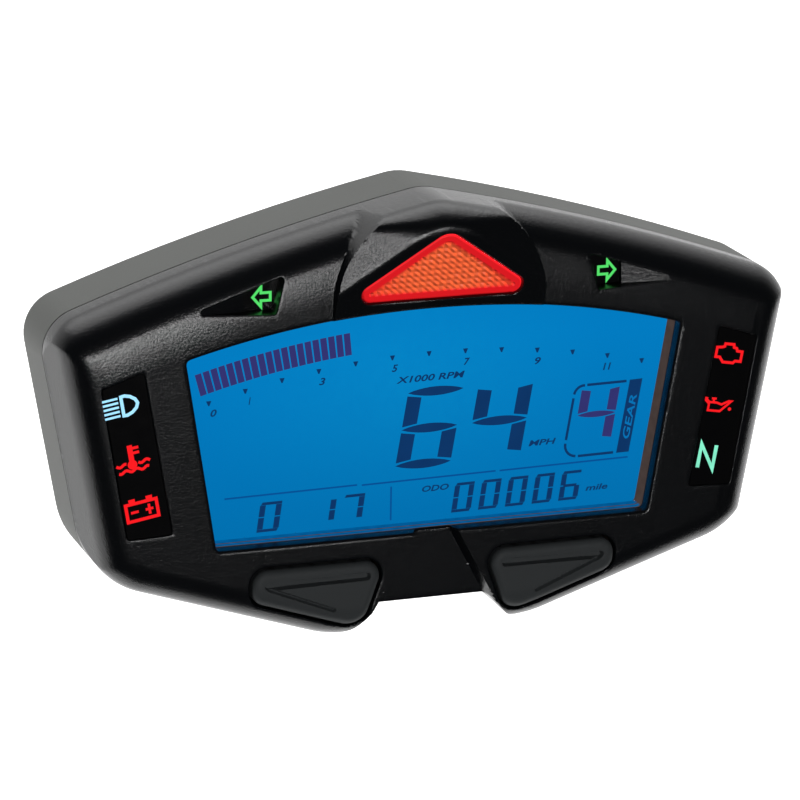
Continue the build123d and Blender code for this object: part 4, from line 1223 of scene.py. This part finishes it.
def battery_symbol():
    """A plain battery with its two poles, a minus and a plus."""
    case = ribbon(box(-2.4, -1.5, 2.4, 1.2), 0.5, loop=True)
    poles = [box(-1.85, 1.45, -0.85, 1.95), box(0.85, 1.45, 1.85, 1.95)]
    minus = [box(-1.75, -0.35, -0.55, 0.05)]
    plus = [box(0.55, -0.35, 1.75, 0.05), box(0.95, -0.95, 1.35, -0.35), box(0.95, 0.05, 1.35, 0.65)]
    return case + poles + minus + plus


def engine_symbol():
    """Check engine: the outline of an engine block."""
    block = [(-0.9, 1.55), (0.65, 1.55), (0.75, 1.05), (1.25, 0.95), (1.45, 0.5), (2.35, 0.45), (2.35, -1.2)]
    block += [(1.35, -1.2), (1.05, -1.55), (-0.8, -1.55), (-1.5, -0.75), (-2.25, -0.75), (-2.25, 0.85)]
    return ribbon(block + [(-1.35, 0.95), (-0.95, 1.1)], 0.46, loop=True)


def oil_symbol():
    """Oil pressure: an oil can with a drop at its spout."""
    can = [(-1.7, 0.35), (-0.35, 0.35), (0.55, 0.1), (1.75, 0.75), (2.2, 0.75), (0.45, -1.05), (-1.7, -1.05)]
    handle = ribbon([(-1.75, 0.25), (-2.35, 0.75), (-2.3, 1.15)], 0.6)
    knob = ribbons([[(-0.95, 0.4), (-0.95, 0.95)], [(-1.35, 1.0), (-0.5, 1.0)]], 0.36)
    return ribbon(can, 0.38, loop=True) + handle + knob + [disc(2.15, -0.55, 0.3, 14)]


def neutral_symbol():
    """Neutral gear: the letter N."""
    return ribbon([(-1.35, -2.0), (-1.35, 2.0), (1.35, -2.0), (1.35, 2.0)], 0.66)


STRIP_LEAN = radians(9.6)
ICON_DEPTH = 0.15 - PRINT_THICKNESS
for name, shapes, centre, lean, material, scale in (
    ("telltale_high_beam", beam_symbol(), (-52.35, 7.35), STRIP_LEAN, BEAM_PRINT, 1.0),
    ("telltale_coolant", coolant_symbol(), (-50.62, -1.3), STRIP_LEAN, RED_PRINT, 1.0),
    ("telltale_battery", battery_symbol(), (-49.1, -9.75), STRIP_LEAN, RED_PRINT, 1.05),
    ("telltale_engine", engine_symbol(), (50.5, 7.75), -STRIP_LEAN, RED_PRINT, 1.0),
    ("telltale_oil", oil_symbol(), (48.95, -0.9), -STRIP_LEAN, RED_PRINT, 1.0),
    ("telltale_neutral", neutral_symbol(), (47.25, -9.6), -STRIP_LEAN, NEUTRAL_PRINT, 1.0),
):
    add_print(name, placed(shapes, centre, lean, scale), ICON_DEPTH, material)

ARROW = [(-1.65, 0.72), (0.1, 0.72), (0.1, 1.8), (1.65, 0.0), (0.1, -1.8), (0.1, -0.72), (-1.65, -0.72)]
ARROW_DEPTH, ARROW_SCALE = 3.05, 0.88
for side, centre, flip in (("left", (-28.7, 22.5), True), ("right", (29.7, 22.6), False)):
    arrow = placed(ribbon(ARROW, 0.5, loop=True), centre, 0, ARROW_SCALE, flip)
    add_print(f"{side}_turn_arrow", arrow, ARROW_DEPTH, GREEN_PRINT)


# ---------------------------------------------------------------- floor and light
FLOOR_DROP, FLOOR_NEAR, FLOOR_FAR, FLOOR_HALF = 0.06, -0.036, 3.5, 2.5
LIGHT_AIM = (0, -0.03, 0.0)


def build_studio():
    """A pale floor below and behind the part, a sky that is brighter towards the back, and two softboxes."""
    level = CAD_BOX[0].z - FLOOR_DROP
    corners = box(-FLOOR_HALF, FLOOR_NEAR, FLOOR_HALF, FLOOR_FAR)
    mesh = bpy.data.meshes.new("floor")
    mesh.from_pydata([(x, y, level) for x, y in corners], [], [(0, 1, 2, 3)])
    floor = bpy.data.objects.new("floor", mesh)
    bpy.context.scene.collection.objects.link(floor)
    material, tree = new_material("floor_pale")
    surface = {"Base Color": (0.9, 0.9, 0.9, 1), "Roughness": 0.9, "Specular IOR Level": 0.0}
    surface |= {"Emission Color": (1, 1, 1, 1), "Emission Strength": 0.85}
    mesh.materials.append(finished(material, add_node(tree, "BsdfPrincipled", surface)))

    world = bpy.data.worlds.new("studio")
    world.use_nodes = True
    tree = world.node_tree
    way = add_node(tree, "TexCoord", out="Generated")
    towards_back = add_node(tree, "SeparateXYZ", {"Vector": way}, out="Y")
    power = ranged(tree, towards_back, 0.03, 1.0, -0.15, 0.55, interpolation_type="SMOOTHSTEP")
    background = tree.nodes["Background"]
    background.inputs["Color"].default_value = (1, 1, 1, 1)
    tree.links.new(power, background.inputs["Strength"])
    bpy.context.scene.world = world

    def softbox(name, direction, distance, width, height, power):
        data = bpy.data.lights.new(name, "AREA")
        data.shape = "RECTANGLE"
        data.size, data.size_y, data.energy = width, height, power
        light = bpy.data.objects.new(name, data)
        bpy.context.scene.collection.objects.link(light)
        way = Vector(direction).normalized()
        light.location = Vector(LIGHT_AIM) + way * distance
        light.rotation_mode = "QUATERNION"
        light.rotation_quaternion = way.to_track_quat("Z", "Y")

    softbox("front_softbox", (-0.05, -0.99, 0.015), 1.1, 0.60, 0.10, 5.6)
    softbox("top_softbox", (0.0, 0.35, 0.94), 1.0, 1.4, 0.8, 7.0)


build_studio()
bpy.context.scene.view_settings.view_transform = "Standard"
